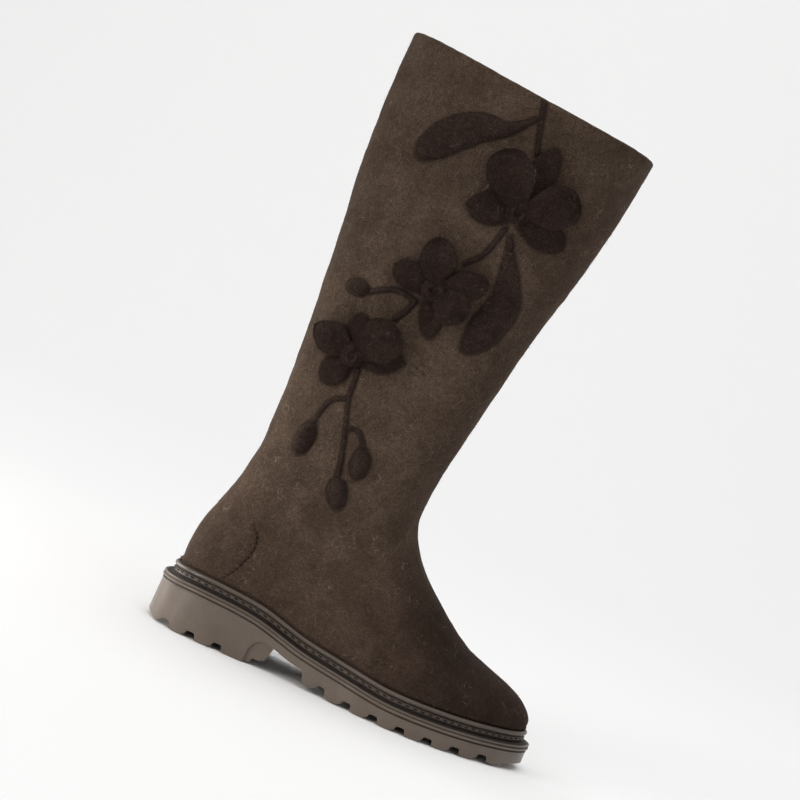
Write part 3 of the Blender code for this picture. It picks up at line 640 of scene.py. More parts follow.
# Soft creases and ridges in the felt: centre x and height from the side, direction in degrees, half length,
# half width and depth in millimetres, and the side (1 outer, -1 inner, 0 both)
CREASES = [
    (112, 104, 12, 30, 7, -0.7, 0),
    (118, 90, 20, 34, 8, 0.6, 0),
    (132, 82, -20, 30, 8, -0.6, 0),
    (58, 96, 70, 26, 9, -0.45, 1),
    (84, 70, 165, 44, 7, -0.35, 1),
    (120, 58, 160, 52, 7, -0.35, 1),
    (150, 50, 158, 42, 6, 0.3, 1),
    (186, 40, 165, 30, 6, -0.3, 0),
    (100, 150, 20, 26, 12, -0.5, 0),
    (46, 140, -10, 24, 12, -0.5, 0),
    (44, 118, -14, 24, 11, 0.4, 0),
    (96, 84, 172, 46, 9, -0.45, -1),
    (70, 240, 84, 60, 24, -0.7, 0),
    (120, 320, 80, 60, 26, 0.6, -1),
    (90, 370, 85, 44, 26, -0.6, 1),
]


def crease_depth(points):
    x, y, z = ((points - SHIFT) * 1000).T
    total = np.zeros(len(points))
    for cx, cz, turn, length, width, depth, side in CREASES:
        along, across = turned(x - cx, z - cz, -turn)
        bell = np.exp(-((along / length) ** 4) - (across / width) ** 2)
        if side:
            bell = bell * ease(0.5 - side * y / 16)
        total += depth * bell
    return total / 1000


# The heel patch's seam, up from the welt, as x and height in millimetres
COUNTER = [(41.0, 45.5), (45.5, 52.5), (49.5, 60.0), (52.0, 68.0), (52.4, 75.0), (50.0, 81.0), (45.5, 86.0)]

# Unevenness of the felt's outer face: a height and the size of the lumps
UNEVEN = ((0.00030, 0.017), (0.00022, 0.0075), (0.00015, 0.0036))


def counter_line(count):
    """Points of the heel patch's seam, with the angle and level of each."""
    table = [(i, x / 1000, z / 1000) for i, (x, z) in enumerate(COUNTER)]
    spots = np.array([smooth(table, i)[1:] for i in np.linspace(0, len(COUNTER) - 1, count)])
    return side_place(spots[:, 0], spots[:, 1])


def seam_distance(points):
    """How far points are from the heel patch's seam. Those nowhere near it are given a metre."""
    angle, level = counter_line(120)
    seam = felt(level, angle)
    distance = np.full(len(points), 1.0)
    close = (np.abs(points[:, 0] - seam[:, 0].mean()) < 0.02) & (points[:, 1] < 0)
    distance[close] = np.linalg.norm(points[close][:, None] - seam[None], axis=2).min(axis=1)
    return distance


def felt_painted_shade(points, around, from_seam):
    """How much painted shade the felt's outer face gets: low on the boot, at the toe, the front, the heel and
    the seam.
    """
    x, z = points[:, 0] - SHIFT[0], points[:, 2]
    low = ease((0.125 - z) / 0.075)
    toe = ease((x - 0.10) / 0.13) * ease((0.13 - z) / 0.05)
    front = ease((around - 0.72) / 0.28)
    heel = ease((0.07 - x) / 0.05) * low
    seam = 0.75 * np.exp(-((from_seam / 0.0011) ** 2))
    return np.maximum(np.clip(0.30 * low + 0.62 * toe + 0.26 * front + 0.16 * heel, 0, 0.90), seam)


def make_upper():
    """The felt body: an outer face with creases and a sunk seam, a rolled collar and an inner face."""
    count = 288
    angle = circle(count)
    outer_levels = np.concatenate(
        [[0.0, 1.0, 1.5], np.arange(2, FIRST_LEG, 0.2), np.linspace(FIRST_LEG, LAST, 8 * 17 + 1)]
    )
    inner_levels = np.concatenate(
        [np.linspace(LAST, FIRST_LEG, 8 * 5 + 1), np.arange(FIRST_LEG - 0.5, -0.1, -0.5)]
    )
    level, turn = np.meshgrid(outer_levels, angle, indexing="ij")
    outer, outward = felt(level, turn), felt_normal(level, turn)
    flat = outer.reshape(-1, 3)
    from_seam = seam_distance(flat)
    rough = sum(height * lumps(flat, size) for height, size in UNEVEN)
    rough += crease_depth(flat) - 0.0009 * np.exp(-((from_seam / 0.0016) ** 2))
    hold = ease((level.reshape(-1) - 1.6) / 1.2)
    flat = flat + outward.reshape(-1, 3) * (rough * hold)[:, None]
    outer = flat.reshape(outer.shape)

    level_in, turn_in = np.meshgrid(inner_levels, angle, indexing="ij")
    inner = felt(level_in, turn_in) - FELT * felt_normal(level_in, turn_in, reach=1.5)
    above_cup = inner[:-4]
    bulge = 0.0003 * lumps(above_cup, 0.011)
    above_cup += felt_normal(level_in[:-4], turn_in[:-4]) * bulge[..., None]
    inner[-1, :, 2] = seat(inner[-1, :, 0] - SHIFT[0]) + GAP

    rim = []
    for share in np.linspace(0, 1, 9)[1:-1]:
        rise = COLLAR_ROLL * (1 - (2 * share - 1) ** 4) * 1.25
        row = mix(outer[-1], inner[0], ease(share) * 0.35 + share * 0.65) + np.array([0, 0, rise])
        rim.append(row + 0.0002 * lumps(row, 0.004)[:, None])
    points = np.concatenate([outer, np.array(rim), inner])
    rows = len(points)
    thing = add_mesh("upper_felt", points.reshape(-1, 3), ring_faces(rows, count, closed=True), felt_material)

    around, up = (1 - np.cos(turn)) / 2, outer[..., 2] / SHAFT_HEIGHT
    halo = np.zeros(rows * count)
    near_spray = np.clip(1 - spray_distance(around, up) / 0.0024, 0, 1) * (np.sin(turn) > 0)
    halo[: len(flat)] = near_spray.reshape(-1)
    mark(thing, "halo", halo)
    inside = inner[..., 2].reshape(-1)
    shade = np.zeros(rows * count)
    shade[: len(flat)] = felt_painted_shade(flat, around.reshape(-1), from_seam)
    # Painted shade inside the boot, growing deeper down from the collar
    shade[-len(inside) :] = 0.15 + 0.35 * ease((SHAFT_HEIGHT - 0.02 - inside) / 0.15)
    mark(thing, "shade", shade)
    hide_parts("upper")


# Felted petals, leaves, buds and stems

# For the fibres: lines along rims with the ways outwards, a length and how many stand on a millimetre, and
# grids of points on felted faces
RIMS = []
NAP = []


def petal(place, turn, reach, breadth, lift, point, cup, root, seed):
    """One petal: a soft, cupped pillow that rises from the flower's middle and leans out over the shaft."""
    rows, columns = 30, 17
    s = (1 - (1 - np.linspace(0, 1, rows)) ** 1.35)[:, None]
    t = np.sin(np.linspace(-1, 1, columns) * math.pi / 2)[None, :]
    widest = 0.58
    tip = np.clip((s - widest) / (1 - widest), 0, 1)
    round_tip, sharp_tip = np.maximum(1 - tip**2.6, 0) ** 0.45, np.maximum(1 - tip**1.2, 0) ** 0.9
    width = np.where(s < widest, mix(0.34, 1.0, ease(s / widest)), mix(round_tip, sharp_tip, point))
    width = np.maximum(width, 0.02)
    length, half = reach * FLOWER_REACH, breadth * FLOWER_REACH
    along = 1.03 * length * s + 0 * t
    across = half * width * t
    wobble = np.stack([along * 0 + seed, along, across], axis=-1)
    across = across * (1 + 0.10 * lumps(wobble, 0.008))
    rise = root + lift * (ease(s * 1.5) * (1 - 0.30 * ease((s - 0.55) / 0.45)))
    rise = rise + cup * (t**2) * ease(s * 1.4) - cup * 0.45 * (1 - t**2) * ease(1.6 * (1 - s)) * ease(2 * s)
    rise = rise + 0.0007 * lumps(wobble + 1.7, 0.010) * ease(s * 2)
    body = 0.0011 * (1 - 0.55 * t**4) * (1 - 0.45 * s**4)
    x, z = turned(along, across, turn)
    fuzz = 0.00028 * lumps(wobble + 5.1, 0.0026) + 0.00030 * lumps(wobble + 8.3, 0.006)
    top = beside(*place, x, z, 0.0, rise + body + fuzz)
    if lift < FELTED_DOWN:
        under = beside(*place, x, z, -PETAL_SUNK)
    else:
        under = beside(*place, x, z, 0.0, (rise - body) * ease(s * 1.6) + 0.0001)
    edge_points = np.concatenate([top[3:, 0], top[-1], top[:2:-1, -1]])
    middle = top[rows // 2, columns // 2]
    RIMS.append((edge_points, edge_points - middle, 0.0020, 3.0))
    NAP.append(top)
    return pillow(top, under)


def lip(place, turn, size):
    """The flower's small curled lip: a ring around a dark hollow, under a rounded column."""
    rows, columns = 26, 12
    a, b = circle(rows)[:, None], circle(columns)[None, :]
    tube = 0.20 * size * (1 + 0.25 * np.cos(a))
    radius = 0.56 * size + tube * np.cos(b)
    x, z = turned(radius * np.cos(a) * 1.15 + 0.20 * size, radius * np.sin(a), turn)
    ring = beside(*place, x, z, 0.0, 0.0062 + tube * np.sin(b) + 0.0012 * np.cos(a))
    return ring.reshape(-1, 3), ring_faces(rows, columns, closed=True)


def dome(place, x, z, radius, base, height):
    """A rounded knob over a place moved by two lengths."""
    rows, columns = 14, 24
    v, a = np.linspace(0.02, math.pi - 0.02, rows)[:, None], circle(columns)[None, :]
    r = radius * np.sin(v)
    out = base + height * (0.5 + 0.5 * np.cos(v)) + 0 * a
    ring = beside(*place, x + r * np.cos(a), z + r * np.sin(a), 0.0, out)
    return ring.reshape(-1, 3), tube_faces(rows, columns)


def make_flower(name, place, petals):
    parts = [petal(place, *row, seed=0.13 * i) for i, row in enumerate(petals)]
    turn, size = LIPS[name]
    parts.append(lip(place, turn, size))
    parts.append(dome(place, 0.0, 0.0, radius=0.0085, base=0.0010, height=0.0050))
    parts.append(dome(place, *turned(-0.0042, 0.0, turn), radius=0.0026, base=0.0050, height=0.0036))
    thing = add_mesh(name + "_petals", *join(parts), petal_material)
    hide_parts(name)


def make_pad(name, rows, height, columns, steps, fringe, dome_steps=3):
    """A leaf, bud or stem felted onto the shaft along a line of places. It reaches its height over dome_steps
    from each end."""
    table = [(i, *row) for i, row in enumerate(rows)]
    spots = np.array([smooth(table, i)[1:] for i in np.linspace(0, len(rows) - 1, steps)])
    around, up, half = spots[:, 0], spots[:, 1], spots[:, 2] * FLOWER_REACH
    depth = shaft_depth(up)
    way = unit(np.stack([np.gradient(around) * depth, np.gradient(up) * SHAFT_HEIGHT], axis=1))
    from_end = np.minimum(np.arange(steps), np.arange(steps)[::-1])
    ends, doming = (np.clip(from_end / ramp_steps, 0.02, 1.0) for ramp_steps in (3, dome_steps))
    ends, doming = np.sqrt(ends * (2 - ends)), np.sqrt(doming * (2 - doming))
    t = np.sin(np.linspace(-1, 1, columns) * math.pi / 2)[None, :]
    spread = half[:, None] * t
    along, rise = (around * depth)[:, None], (up * SHAFT_HEIGHT)[:, None]
    wobble = np.stack(np.broadcast_arrays(along, rise, spread), axis=-1)
    across = spread * ends[:, None] * (1 + 0.10 * lumps(wobble, 0.006))
    x, z = -way[:, 1:] * across, way[:, :1] * across
    crown = np.maximum(1 - t**2, 0) ** 0.7
    fade = np.minimum(1.0, 0.5 + half / half.max())[:, None] * doming[:, None]
    out = height * crown * fade * (1 + 0.14 * lumps(wobble + 3.3, 0.005))
    top = beside(around[:, None], up[:, None], x, z, out + 0.00018 * lumps(wobble + 9.1, 0.0024))
    under = beside(around[:, None], up[:, None], x, z, -PAD_SUNK)
    line = np.concatenate([top[:, 0], top[::-1, -1]])
    middle = np.concatenate([top[:, columns // 2], top[::-1, columns // 2]])
    RIMS.append((line, line - middle, fringe, 2.2))
    NAP.append(top)
    thing = add_mesh(name + "_wool", *pillow(top, under), thin_material)
    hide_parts(name)


def make_spray():
    for name, (place, petals) in FLOWERS.items():
        make_flower(name, place, petals)
    for name, rows in LEAVES.items():
        make_pad(name, rows, height=0.0021, columns=21, steps=90, fringe=0.0030)
    for name, rows in BUDS.items():
        make_pad(name, rows, height=0.0060, columns=17, steps=40, fringe=0.0016, dome_steps=17)
    for name, rows in STEMS.items():
        half = STEM_HALF * (1.3 if name == "stem_top" else 1.0)
        make_pad(name, [(a, u, half) for a, u in rows], height=0.0013, columns=9, steps=60, fringe=0.0018)


# Fibres


def make_fibres(name, material, roots, ways, lift, lengths, radius, seed, segments=2, curl=0.5):
    """Thin tapered fibres: closed three-sided tubes that bend as they leave the felt."""
    rng = np.random.default_rng(seed)
    count = len(roots)
    ways = unit(ways)
    side = unit(np.cross(ways, lift))
    up = np.cross(side, ways)
    bend_side, bend_up = rng.normal(0, curl, count), rng.normal(0, curl * 0.6, count)
    rings = []
    for s in np.linspace(0, 1, segments + 1):
        bend = side * (lengths * bend_side)[:, None] + up * (lengths * bend_up)[:, None]
        centre = roots + ways * (lengths * s)[:, None] + bend * s * s
        thick = radius * (1 - 0.85 * s)
        rings += [centre + side * thick * math.cos(a) + up * thick * math.sin(a) for a in circle(3)]
    points = np.stack(rings, axis=1).reshape(-1, 3)
    per = 3 * (segments + 1)
    one = [(2, 1, 0), (per - 3, per - 2, per - 1)]
    for k in range(segments):
        for c in range(3):
            a, b = 3 * k + c, 3 * k + (c + 1) % 3
            one.append((a, b, b + 3, a + 3))
    faces = [tuple(v + i * per for v in face) for i in range(count) for face in one]
    thing = add_mesh(name, points, faces, material)


def scatter(count, seed):
    """Random places on the felt's outer face above the welt, even by area, with their normals."""
    rng = np.random.default_rng(seed)
    level, angle = rng.uniform(2.6, LAST, count * 5), rng.uniform(0, 2 * math.pi, count * 5)
    rise = felt(np.minimum(level + 0.05, LAST), angle) - felt(level - 0.05, angle)
    way = felt(level, angle + 0.01) - felt(level, angle - 0.01)
    area = np.linalg.norm(np.cross(way, rise), axis=1)
    keep = rng.uniform(0, 1, len(area)) < area / np.quantile(area, 0.98)
    level, angle = level[keep][:count], angle[keep][:count]
    return felt(level, angle), felt_normal(level, angle), rng


def leaning(rng, normals, low, high):
    """Ways in all directions along a face, which stand off it by a share between low and high."""
    flat = unit(np.cross(normals, rng.normal(0, 1, normals.shape)))
    return flat + normals * rng.uniform(low, high, len(normals))[:, None]


def make_hairs():
    """Short fuzz and a few long pale hairs on the felt."""
    points, normals, rng = scatter(7800, 21)
    ways = leaning(rng, normals, 0.15, 0.9)
    lengths = rng.uniform(0.0008, 0.0022, len(points))
    make_fibres("felt_fuzz", fuzz_material, points, ways, normals, lengths, radius=0.000045, seed=22)

    points, normals, rng = scatter(620, 31)
    ways = leaning(rng, normals, 0.0, 0.12)
    lengths = rng.uniform(0.003, 0.010, len(points)) * rng.uniform(0.5, 1.0, len(points))
    make_fibres(
        "pale_hairs", hair_material, points + normals * 0.0004, ways, normals, lengths,
        radius=0.00006, seed=32, segments=6, curl=0.45,
    )


def make_fringes():
    """Wool ends along the rims of the petals, leaves, buds and stems."""
    rng = np.random.default_rng(41)
    roots, ways, lengths = [], [], []
    for line, outward, length, density in RIMS:
        run = np.linalg.norm(np.diff(line, axis=0), axis=1).sum()
        number = int(run * 1000 * density)
        spot = rng.uniform(0, len(line) - 1.001, number)
        low, part = spot.astype(int), (spot % 1)[:, None]
        roots.append(mix(line[low], line[low + 1], part))
        way = outward[low] / (np.linalg.norm(outward[low], axis=1)[:, None] + 1e-9)
        ways.append(way + rng.normal(0, 0.55, way.shape) * np.array([1, 0.35, 1]))
        lengths.append(length * rng.uniform(0.3, 1.0, number))
    roots, ways, lengths = np.concatenate(roots), np.concatenate(ways), np.concatenate(lengths)
    lift = np.tile([0.0, -1.0, 0.0], (len(roots), 1))
    make_fibres("flower_fuzz", dark_fuzz_material, roots, ways, lift, lengths, radius=0.00006, seed=42)


def make_nap():
    """Short wool standing off the petals, leaves, buds and stems, about as dense on each."""
    rng = np.random.default_rng(51)
    roots, normals = [], []
    for top in NAP:
        down, over = top[1:, :-1] - top[:-1, :-1], top[:-1, 1:] - top[:-1, :-1]
        facing = np.cross(over, down).reshape(-1, 3)
        area = np.linalg.norm(facing, axis=1)
        facing = facing / (area[:, None] + 1e-12)
        facing *= -np.sign(facing[:, 1:2] + 1e-9)
        number = int(area.sum() * 1e6 * NAP_DENSITY)
        cell = rng.choice(len(area), number, p=area / area.sum())
        row, column = np.divmod(cell, top.shape[1] - 1)
        a, b = rng.uniform(0, 1, (2, number, 1))
        near, far = (mix(top[row, k], top[row + 1, k], a) for k in (column, column + 1))
        roots.append(mix(near, far, b))
        normals.append(facing[cell])
    roots, normals = np.concatenate(roots), np.concatenate(normals)
    ways = leaning(rng, normals, 0.15, 0.7)
    lengths = rng.uniform(0.0008, 0.0020, len(roots))
    make_fibres("flower_nap", dark_fuzz_material, roots, ways, normals, lengths, radius=0.00005, seed=52)


# The rubber sole and welt


def object_from(shape, name):
    bmesh.ops.recalc_face_normals(shape, faces=shape.faces)
    mesh = bpy.data.meshes.new(name)
    shape.to_mesh(mesh)
    shape.free()
    return add_object(name, mesh, rubber_material)


def sole_ring(inset, height, count):
    x, y = plan(circle(count), inset)
    return np.stack([x, y, flange_base(x) + height], axis=1) + SHIFT


def make_welt():
    """The welt's section, up from the flange: a recess darkened with painted shade, the stitched band, a
    groove and the rib. Each row is an inset, a height and how much painted shade it gets."""
    outer, count = WALL_STEP + LEDGE, 360
    inner, rib, top = outer + WELT_THICKNESS, WELT_HEIGHT - RIB_HEIGHT, WELT_HEIGHT
    section = [
        (inner, GAP, 1.0), (outer + 0.0012, GAP, 1.0), (outer + 0.0011, 0.0008, 1.0),
        (outer + 0.0011, 0.0015, 0.9), (outer + 0.0009, 0.0019, 0.7), (outer + 0.0001, 0.0022, 0.1),
        (outer - 0.0001, 0.0026, 0.0), (outer + 0.0001, 0.0030, 0.15), (outer + 0.0003, 0.0033, 0.35),
        (outer + 0.0001, 0.0036, 0.15), (outer, rib - 0.0013, 0.0), (outer + 0.0002, rib - 0.0010, 0.3),
        (outer + 0.0010, rib - 0.0008, 1.0), (outer + 0.0010, rib - 0.0001, 1.0),
        (outer + 0.0001, rib + 0.0001, 0.4), (outer - 0.0004, rib + 0.0005, 0.0),
        (outer - 0.0007, rib + 0.0010, 0.0), (outer - 0.0008, rib + 0.0017, 0.0),
        (outer - 0.0006, rib + 0.0024, 0.0), (outer - 0.0001, rib + 0.0029, 0.0),
        (outer + 0.0005, top - 0.0002, 0.2), (outer + 0.0012, top, 0.7), (inner - 0.0002, top - 0.0001, 1.0),
        (inner, top - 0.0006, 1.0),
    ]
    rings = np.array([sole_ring(inset, FLANGE_HEIGHT + height, count) for inset, height, _ in section])
    flat = rings.reshape(-1, 3)
    flat += np.array([0, 0, 1.0]) * (0.00010 * lumps(flat, 0.014))[:, None]
    thing = add_mesh("welt_band", flat, ring_faces(len(section), count, closed=True), welt_material)
    # The groove values are painted shade on the recess, the stitch channel, the groove and the welt's top
    mark(thing, "groove", np.repeat([dark for _, _, dark in section], count))
    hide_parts("welt")


def cord(line, radius, sides=8):
    """Points and faces of a short closed cord along a line."""
    way = unit(np.gradient(line, axis=0))
    up = unit(np.cross(way, np.array([0.0, 0.0, 1.0])))
    other = np.cross(way, up)
    a = circle(sides)[None, :, None]
    thick = radius * np.sqrt(1 - np.linspace(-0.9, 0.9, len(line)) ** 4)
    rings = line[:, None] + thick[:, None, None] * (up[:, None] * np.cos(a) + other[:, None] * np.sin(a))
    return rings.reshape(-1, 3), tube_faces(len(line), sides)


def run_along(line):
    """How far each point of a line is from its start, along it."""
    return np.concatenate([[0], np.cumsum(np.linalg.norm(np.diff(line, axis=0), axis=1))])


# How deep a stitch's thread lies at seven points of it: its ends dive into the welt or the felt
WELT_BOW = np.array([0.0011, 0.0002, -0.00005, -0.0001, -0.00005, 0.0002, 0.0011])
SEAM_SINK = np.array([0.0016, 0.0008, 0.0005, 0.0004, 0.0005, 0.0008, 0.0016])


def make_stitches():
    """Dark thread in the welt's channel, and the heel patch's seam in the felt."""
    run = run_along(np.stack(plan(TURN, WALL_STEP + LEDGE), axis=1))
    pitch, reach, radius = WELT_STITCH
    number = round(run[-1] / pitch)
    rng = np.random.default_rng(5)
    parts = []
    for i in range(number):
        spots = i * run[-1] / number + np.linspace(-reach, reach, 7) + rng.normal(0, 0.00012)
        angle = np.interp(np.mod(spots, run[-1]), run, TURN)
        x, y = plan(angle, WALL_STEP + LEDGE + WELT_BOW)
        height = FLANGE_HEIGHT + 0.0033 + rng.normal(0, 0.00010) + np.linspace(0.00012, -0.00012, 7)
        parts.append(cord(np.stack([x, y, flange_base(x) + height], axis=1) + SHIFT, radius))
    thing = add_mesh("welt_stitches", *join(parts), thread_material)

    angle, level = counter_line(400)
    line, normal = felt(level, angle), felt_normal(level, angle)
    run = run_along(line)
    pitch, reach, radius = SEAM_STITCH
    parts = []
    for start in np.arange(0.0008, run[-1] - 0.002, pitch):
        spots = start + np.linspace(-reach, reach, 7) + rng.normal(0, 0.0001)
        place, out = (
            np.stack([np.interp(spots, run, rows[:, k]) for k in range(3)], axis=1) for rows in (line, normal)
        )
        jitter = np.array([rng.normal(0, 0.00025), 0, 0])
        parts.append(cord(place - out * SEAM_SINK[:, None] + jitter, radius))
    thing = add_mesh("heel_stitches", *join(parts), thread_material)


def side_edge(x, side):
    angle = math.acos(1 - 2 * min(max(x / SOLE_LENGTH, 0.0), 1.0))
    return edge(side * angle)[1]


def tread_line(x):
    rocker = max(0.0, 1 - (x - TREAD_START) / ROCKER_LENGTH)
    return TREAD_ROCKER * rocker**2 + TOE_SPRING * float(spring(x / SOLE_LENGTH))


def prism(shape, corners, start, end):
    """A body between two outlines with the same corners in the side view. Each outline's place across the
    boot is a number, or depends on x."""
    loops = []
    for across in (start, end):
        y = across if callable(across) else lambda x, fixed=across: fixed
        loops.append([shape.verts.new(Vector((x, y(x), z)) + Vector(SHIFT)) for x, z in corners])
    first, second = loops
    for i in range(len(corners)):
        j = (i + 1) % len(corners)
        shape.faces.new((first[i], first[j], second[j], second[i]))
    shape.faces.new(first)
    shape.faces.new(second)


def notch(shape, x, floor, width, depth, start, end):
    """A groove across the tread with a rounded head, widening downwards."""
    half, below = width / 2, 0.006
    flare = NOTCH_FLARE / 2 * (1 + below / depth)
    head = [(-1, 0.72), (-0.86, 0.90), (-0.55, 1.0), (0.55, 1.0), (0.86, 0.90), (1, 0.72)]
    corners = [(x + half + flare, floor - below), (x - half - flare, floor - below)]
    corners += [(x + a * half, floor + depth * b) for a, b in head]
    prism(shape, corners, start, end)


def fore_notches():
    first = TREAD_START + FIRST_LUG
    count = int((0.93 * SOLE_LENGTH - first) / LUG_PITCH) + 1
    return [first + LUG_PITCH * i for i in range(count)]


def heel_notches():
    first = HEEL_LENGTH - 2 * HEEL_PANEL - NOTCH_WIDTH / 2
    count = int((first - 0.05 * SOLE_LENGTH) / LUG_PITCH) + 1
    return [HEEL_LENGTH - HEEL_PANEL / 2] + [first - LUG_PITCH * i for i in range(count)]


HEEL_X = np.linspace(0.003, HEEL_LENGTH - HEEL_BEVEL - 0.001, 62)


def belly(x, notches):
    """How far a lug's bottom has risen at x. Its middle is flat, and its front rises more than its rear."""
    half = NOTCH_WIDTH / 2
    behind = max([n for n in notches if n <= x], default=min(notches) - LUG_PITCH)
    before = min([n for n in notches if n > x], default=max(notches) + LUG_PITCH)
    t = min(max((x - behind - half) / (before - behind - 2 * half), 0.0), 1.0)
    return LUG_REAR * max(0.0, 1 - t / 0.40) ** 2 + LUG_FRONT * max(0.0, (t - 0.55) / 0.45) ** 2


def under_line():
    """The outsole's underside from behind the heel to past the toe, as x and height."""
    line = [(-0.02, 0.0045), (0.001, 0.0040)]
    for x in HEEL_X:
        rounding = 0.0030 * max(0.0, 1 - (x - 0.003) / 0.016) ** 2
        line.append((x, rounding + belly(x, heel_notches())))
    line.append((HEEL_LENGTH - HEEL_BEVEL, 0.0))
    for s in (0.35, 0.7, 1.0):
        line.append((HEEL_LENGTH - HEEL_BEVEL * (1 - s) - 0.0025 * s, HEEL_BEVEL_RISE * s**1.5))
    for s in np.linspace(0, 1, 10):
        x = mix(HEEL_LENGTH, TREAD_START - 0.0015, s)
        line.append((x, float(flange_base(x)) - WAIST_THICKNESS))
    line += [(x, tread_line(x) + belly(x, fore_notches())) for x in np.linspace(TREAD_START, SOLE_LENGTH, 150)]
    return line + [(SOLE_LENGTH + 0.02, line[-1][1])]


def sole_blank():
    """The whole sole before it is cut, up to its flange. Each row of the flange's section is an inset, a
    height and how much painted shade it gets."""
    count, bottom, top = 300, -0.012, FLANGE_HEIGHT
    side = [
        (WALL_STEP, -0.0022, 0.0), (WALL_STEP - 0.0003, -0.0018, 0.0), (WALL_STEP - 0.0003, -0.0009, 0.0),
        (WALL_STEP + 0.0009, -0.0006, 0.7), (WALL_STEP + 0.0009, 0.0001, 0.7), (0.0004, 0.0004, 0.2),
        (0.0, 0.0009, 0.0), (0.0, 0.0017, 0.0), (0.0004, 0.0021, 0.2), (0.0011, 0.0023, 0.5),
        (0.0011, 0.0028, 0.5), (0.0004, 0.0030, 0.2), (0.0001, 0.0034, 0.0), (0.0003, 0.0039, 0.0),
        (0.0010, top, 0.1), (0.0018, top - 0.0002, 0.5), (0.0026, top - 0.0006, 0.9),
        (0.0040, top - 0.0006, 1.0), (0.0048, top, 1.0),
    ]
    x, y = plan(circle(count), 0.0)
    rings = [np.stack([x, y, 0 * x + bottom], axis=1) + SHIFT]
    rings += [sole_ring(inset, height, count) for inset, height, _ in side]
    shape = bmesh.new()
    loops = [[shape.verts.new(point) for point in ring] for ring in rings]
    for first, second in zip(loops, loops[1:]):
        for i in range(count):
            j = (i + 1) % count
            shape.faces.new((first[i], first[j], second[j], second[i]))
    for ring in (loops[0], loops[-1]):
        for i in range(count // 2):
            corners = [ring[i], ring[i + 1], ring[count - i - 1], ring[(count - i) % count]]
            unique = list(dict.fromkeys(corners))
            if len(unique) > 2:
                shape.faces.new(unique)
    sole = object_from(shape, "outsole_rubber")
    # The groove values are painted shade on the wall's step, the flange's groove and the ledge under the welt
    mark(sole, "groove", np.repeat([0.0] + [dark for _, _, dark in side], count))
    return sole


def underside_cutter():
    shape, line = bmesh.new(), under_line()
    corners = line + [(line[-1][0], UNDER_FLOOR), (line[0][0], UNDER_FLOOR)]
    prism(shape, corners, -BALL_WIDTH, BALL_WIDTH)
    return object_from(shape, "underside_cutter")


def panel_cutter():
    """The arched panels, sunk into both sides of the heel's front."""
    shape = bmesh.new()
    back, front = HEEL_LENGTH - HEEL_PANEL, HEEL_LENGTH + 0.004
    top = float(flange_base(front)) - WAIST_THICKNESS / 2 - 0.0006
    arch = [(front, -0.02), (back, -0.02)]
    for a in np.linspace(0.0, math.pi * 0.62, 14):
        drop = 0.011 * (1 - math.sin(a) ** 0.8)
        arch.append((mix(back, front, 0.5 - 0.5 * math.cos(a)), top - drop))
    arch.append((front, top - 0.0008))
    for side in (1, -1):
        depth = side * (HEEL_PANEL_DEPTH + WALL_STEP)
        prism(shape, arch, lambda x: side_edge(x, side) + depth, -side * BALL_WIDTH)
    return object_from(shape, "panel_cutter")


def groove_cutter():
    """The grooves between the lugs, in from both sides, and the short ones down the middle of the tread."""
    shape = bmesh.new()
    for x in fore_notches() + heel_notches():
        floor = tread_line(x) if x > TREAD_START else 0.0
        for side in (1, -1):
            start, end = sorted((-side * BALL_WIDTH, side_edge(x, side) + side * NOTCH_REACH))
            notch(shape, x, floor, NOTCH_WIDTH, LUG_DEPTH, start, end)
    for x in fore_notches()[:-1]:
        middle = x + LUG_PITCH / 2
        centre = (side_edge(middle, 1) + side_edge(middle, -1)) / 2
        start, end = centre - MIDDLE_TREAD / 2, centre + MIDDLE_TREAD / 2
        notch(shape, middle, tread_line(middle), NOTCH_WIDTH * 0.7, LUG_DEPTH * 0.7, start, end)
    return object_from(shape, "groove_cutter")


def make_outsole():
    sole = sole_blank()
    cutters = [underside_cutter(), panel_cutter(), groove_cutter()]
    for cutter in cutters:
        step = sole.modifiers.new(cutter.name, "BOOLEAN")
        step.operation = "DIFFERENCE"
        step.object = cutter
    soften = sole.modifiers.new("soften", "BEVEL")
    soften.width = 0.0007
    soften.segments = 3
    soften.limit_method = "ANGLE"
    soften.angle_limit = math.radians(38)
    soften.use_clamp_overlap = True
    bpy.context.view_layer.update()
    depsgraph = bpy.context.evaluated_depsgraph_get()
    mesh = bpy.data.meshes.new_from_object(sole.evaluated_get(depsgraph))
    sole.modifiers.clear()
    sole.data = mesh
    mesh.shade_smooth()
    mesh.set_sharp_from_angle(angle=math.radians(42))
    for cutter in cutters:
        bpy.data.objects.remove(cutter)
    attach(sole, "root")
    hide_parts("outsole")


# The stage


def make_stage():
    """A pale floor that bends up into a wall well behind the boot."""
    material = bpy.data.materials.new("paper")
    material.use_nodes = True
    shader = material.node_tree.nodes["Principled BSDF"]
    shader.inputs["Base Color"].default_value = (0.97, 0.97, 0.97, 1)
    shader.inputs["Roughness"].default_value = 0.9
    shader.inputs["Specular IOR Level"].default_value = 0.1
    half_width, near, wall, bend, top = 5.0, -4.0, 1.2, 1.0, 6.0
    rows = [(near, 0.0), (wall, 0.0)]
    rows += [(wall + bend * math.sin(a), bend - bend * math.cos(a)) for a in np.linspace(0.1, math.pi / 2, 12)]
    rows += [(wall + bend, top)]
    points = [(side * half_width, y, z) for y, z in rows for side in (-1, 1)]
    faces = [(2 * i, 2 * i + 1, 2 * i + 3, 2 * i + 2) for i in range(len(rows) - 1)]
    mesh = bpy.data.meshes.new("floor")
    mesh.from_pydata(points, [], faces)
    mesh.shade_smooth()
    floor = add_object("floor", mesh, material)


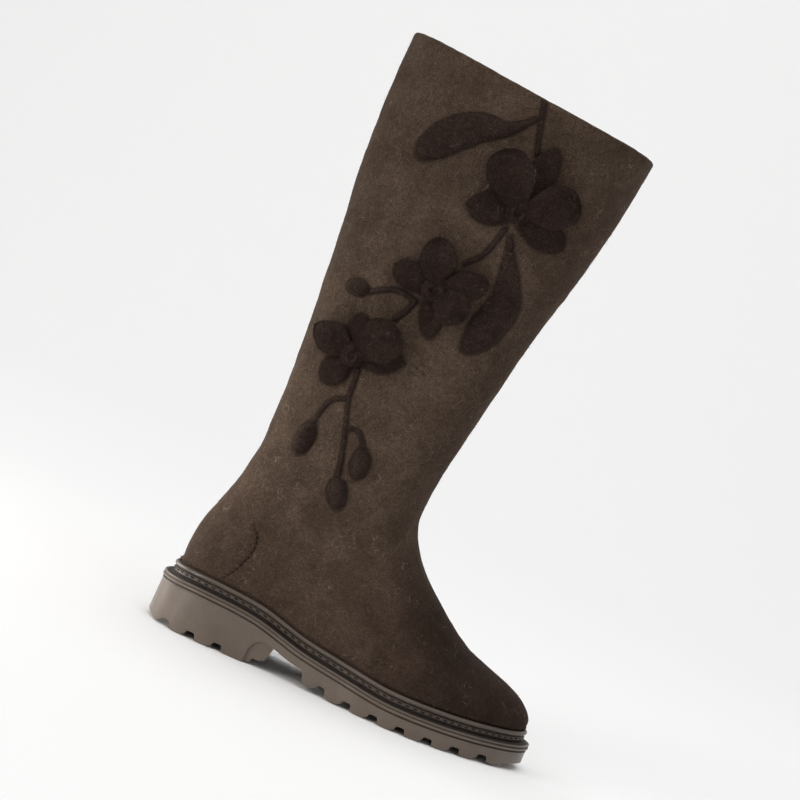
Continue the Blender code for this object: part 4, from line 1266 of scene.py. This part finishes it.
def area_light(name, place, target, size, power, colour=(1, 1, 1), spread=180):
    data = bpy.data.lights.new(name, "AREA")
    data.shape = "RECTANGLE"
    data.size, data.size_y = size
    data.energy = power
    data.color = colour
    data.spread = math.radians(spread)
    light = bpy.data.objects.new(name, data)
    light.location = place
    way = Vector(target) - Vector(place)
    light.rotation_mode = "QUATERNION"
    light.rotation_quaternion = way.to_track_quat("-Z", "Y")
    light.visible_camera = False
    bpy.context.scene.collection.objects.link(light)


def make_lights():
    """Soft light from the left and above, and two narrow ones for the gloss on the heel's side and back."""
    world = bpy.data.worlds.new("studio")
    world.use_nodes = True
    world.node_tree.nodes["Background"].inputs["Color"].default_value = (1, 1, 1, 1)
    world.node_tree.nodes["Background"].inputs["Strength"].default_value = 0.56
    bpy.context.scene.world = world
    heel, warm, warmer, narrow = (-0.1, 0, 0.02), (1, 0.97, 0.92), (1, 0.95, 0.88), 24
    area_light("key", (-1.9, -1.5, 1.2), (0, 0, 0.18), (1.2, 1.2), 13, (1, 0.98, 0.95))
    area_light("heel_side", (-1.5, -1.1, 0.11), heel, (0.45, 0.18), 0.27, warm, narrow)
    area_light("heel_back", (-1.45, 0.5, 0.11), heel, (0.35, 0.18), 0.40, warmer, narrow)
    area_light("top", (0.2, -0.4, 3.0), (0, 0.3, 0), (2.6, 2.6), 36)
    bpy.context.scene.view_settings.view_transform = "Standard"


def make_camera():
    data = bpy.data.cameras.new("camera")
    data.lens, data.sensor_width = 93.1, 36.0
    data.dof.use_dof = False
    data.clip_start, data.clip_end = 0.05, 50
    data.shift_x, data.shift_y = CAMERA_SHIFT
    turn, roll = math.radians(CAMERA_TURN), math.radians(CAMERA_ROLL)
    place = Vector((CAMERA_DISTANCE * math.sin(turn), -CAMERA_DISTANCE * math.cos(turn), CAMERA_HEIGHT))
    way = (Vector((0, 0, CAMERA_AIM)) - place).normalized()
    level = way.cross(Vector((0, 0, 1))).normalized()
    upright = level.cross(way)
    right = level * math.cos(roll) + upright * math.sin(roll)
    up = upright * math.cos(roll) - level * math.sin(roll)
    camera = bpy.data.objects.new("camera", data)
    camera.location = place
    camera.rotation_mode = "QUATERNION"
    camera.rotation_quaternion = Matrix((right, up, -way)).transposed().to_quaternion()
    bpy.context.scene.collection.objects.link(camera)
    bpy.context.scene.camera = camera


make_camera()
make_upper()
make_spray()
make_hairs()
make_fringes()
make_nap()
make_welt()
make_stitches()
make_outsole()
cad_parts["insole"].data.materials.clear()
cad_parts["insole"].data.materials.append(insole_material)
make_stage()
make_lights()
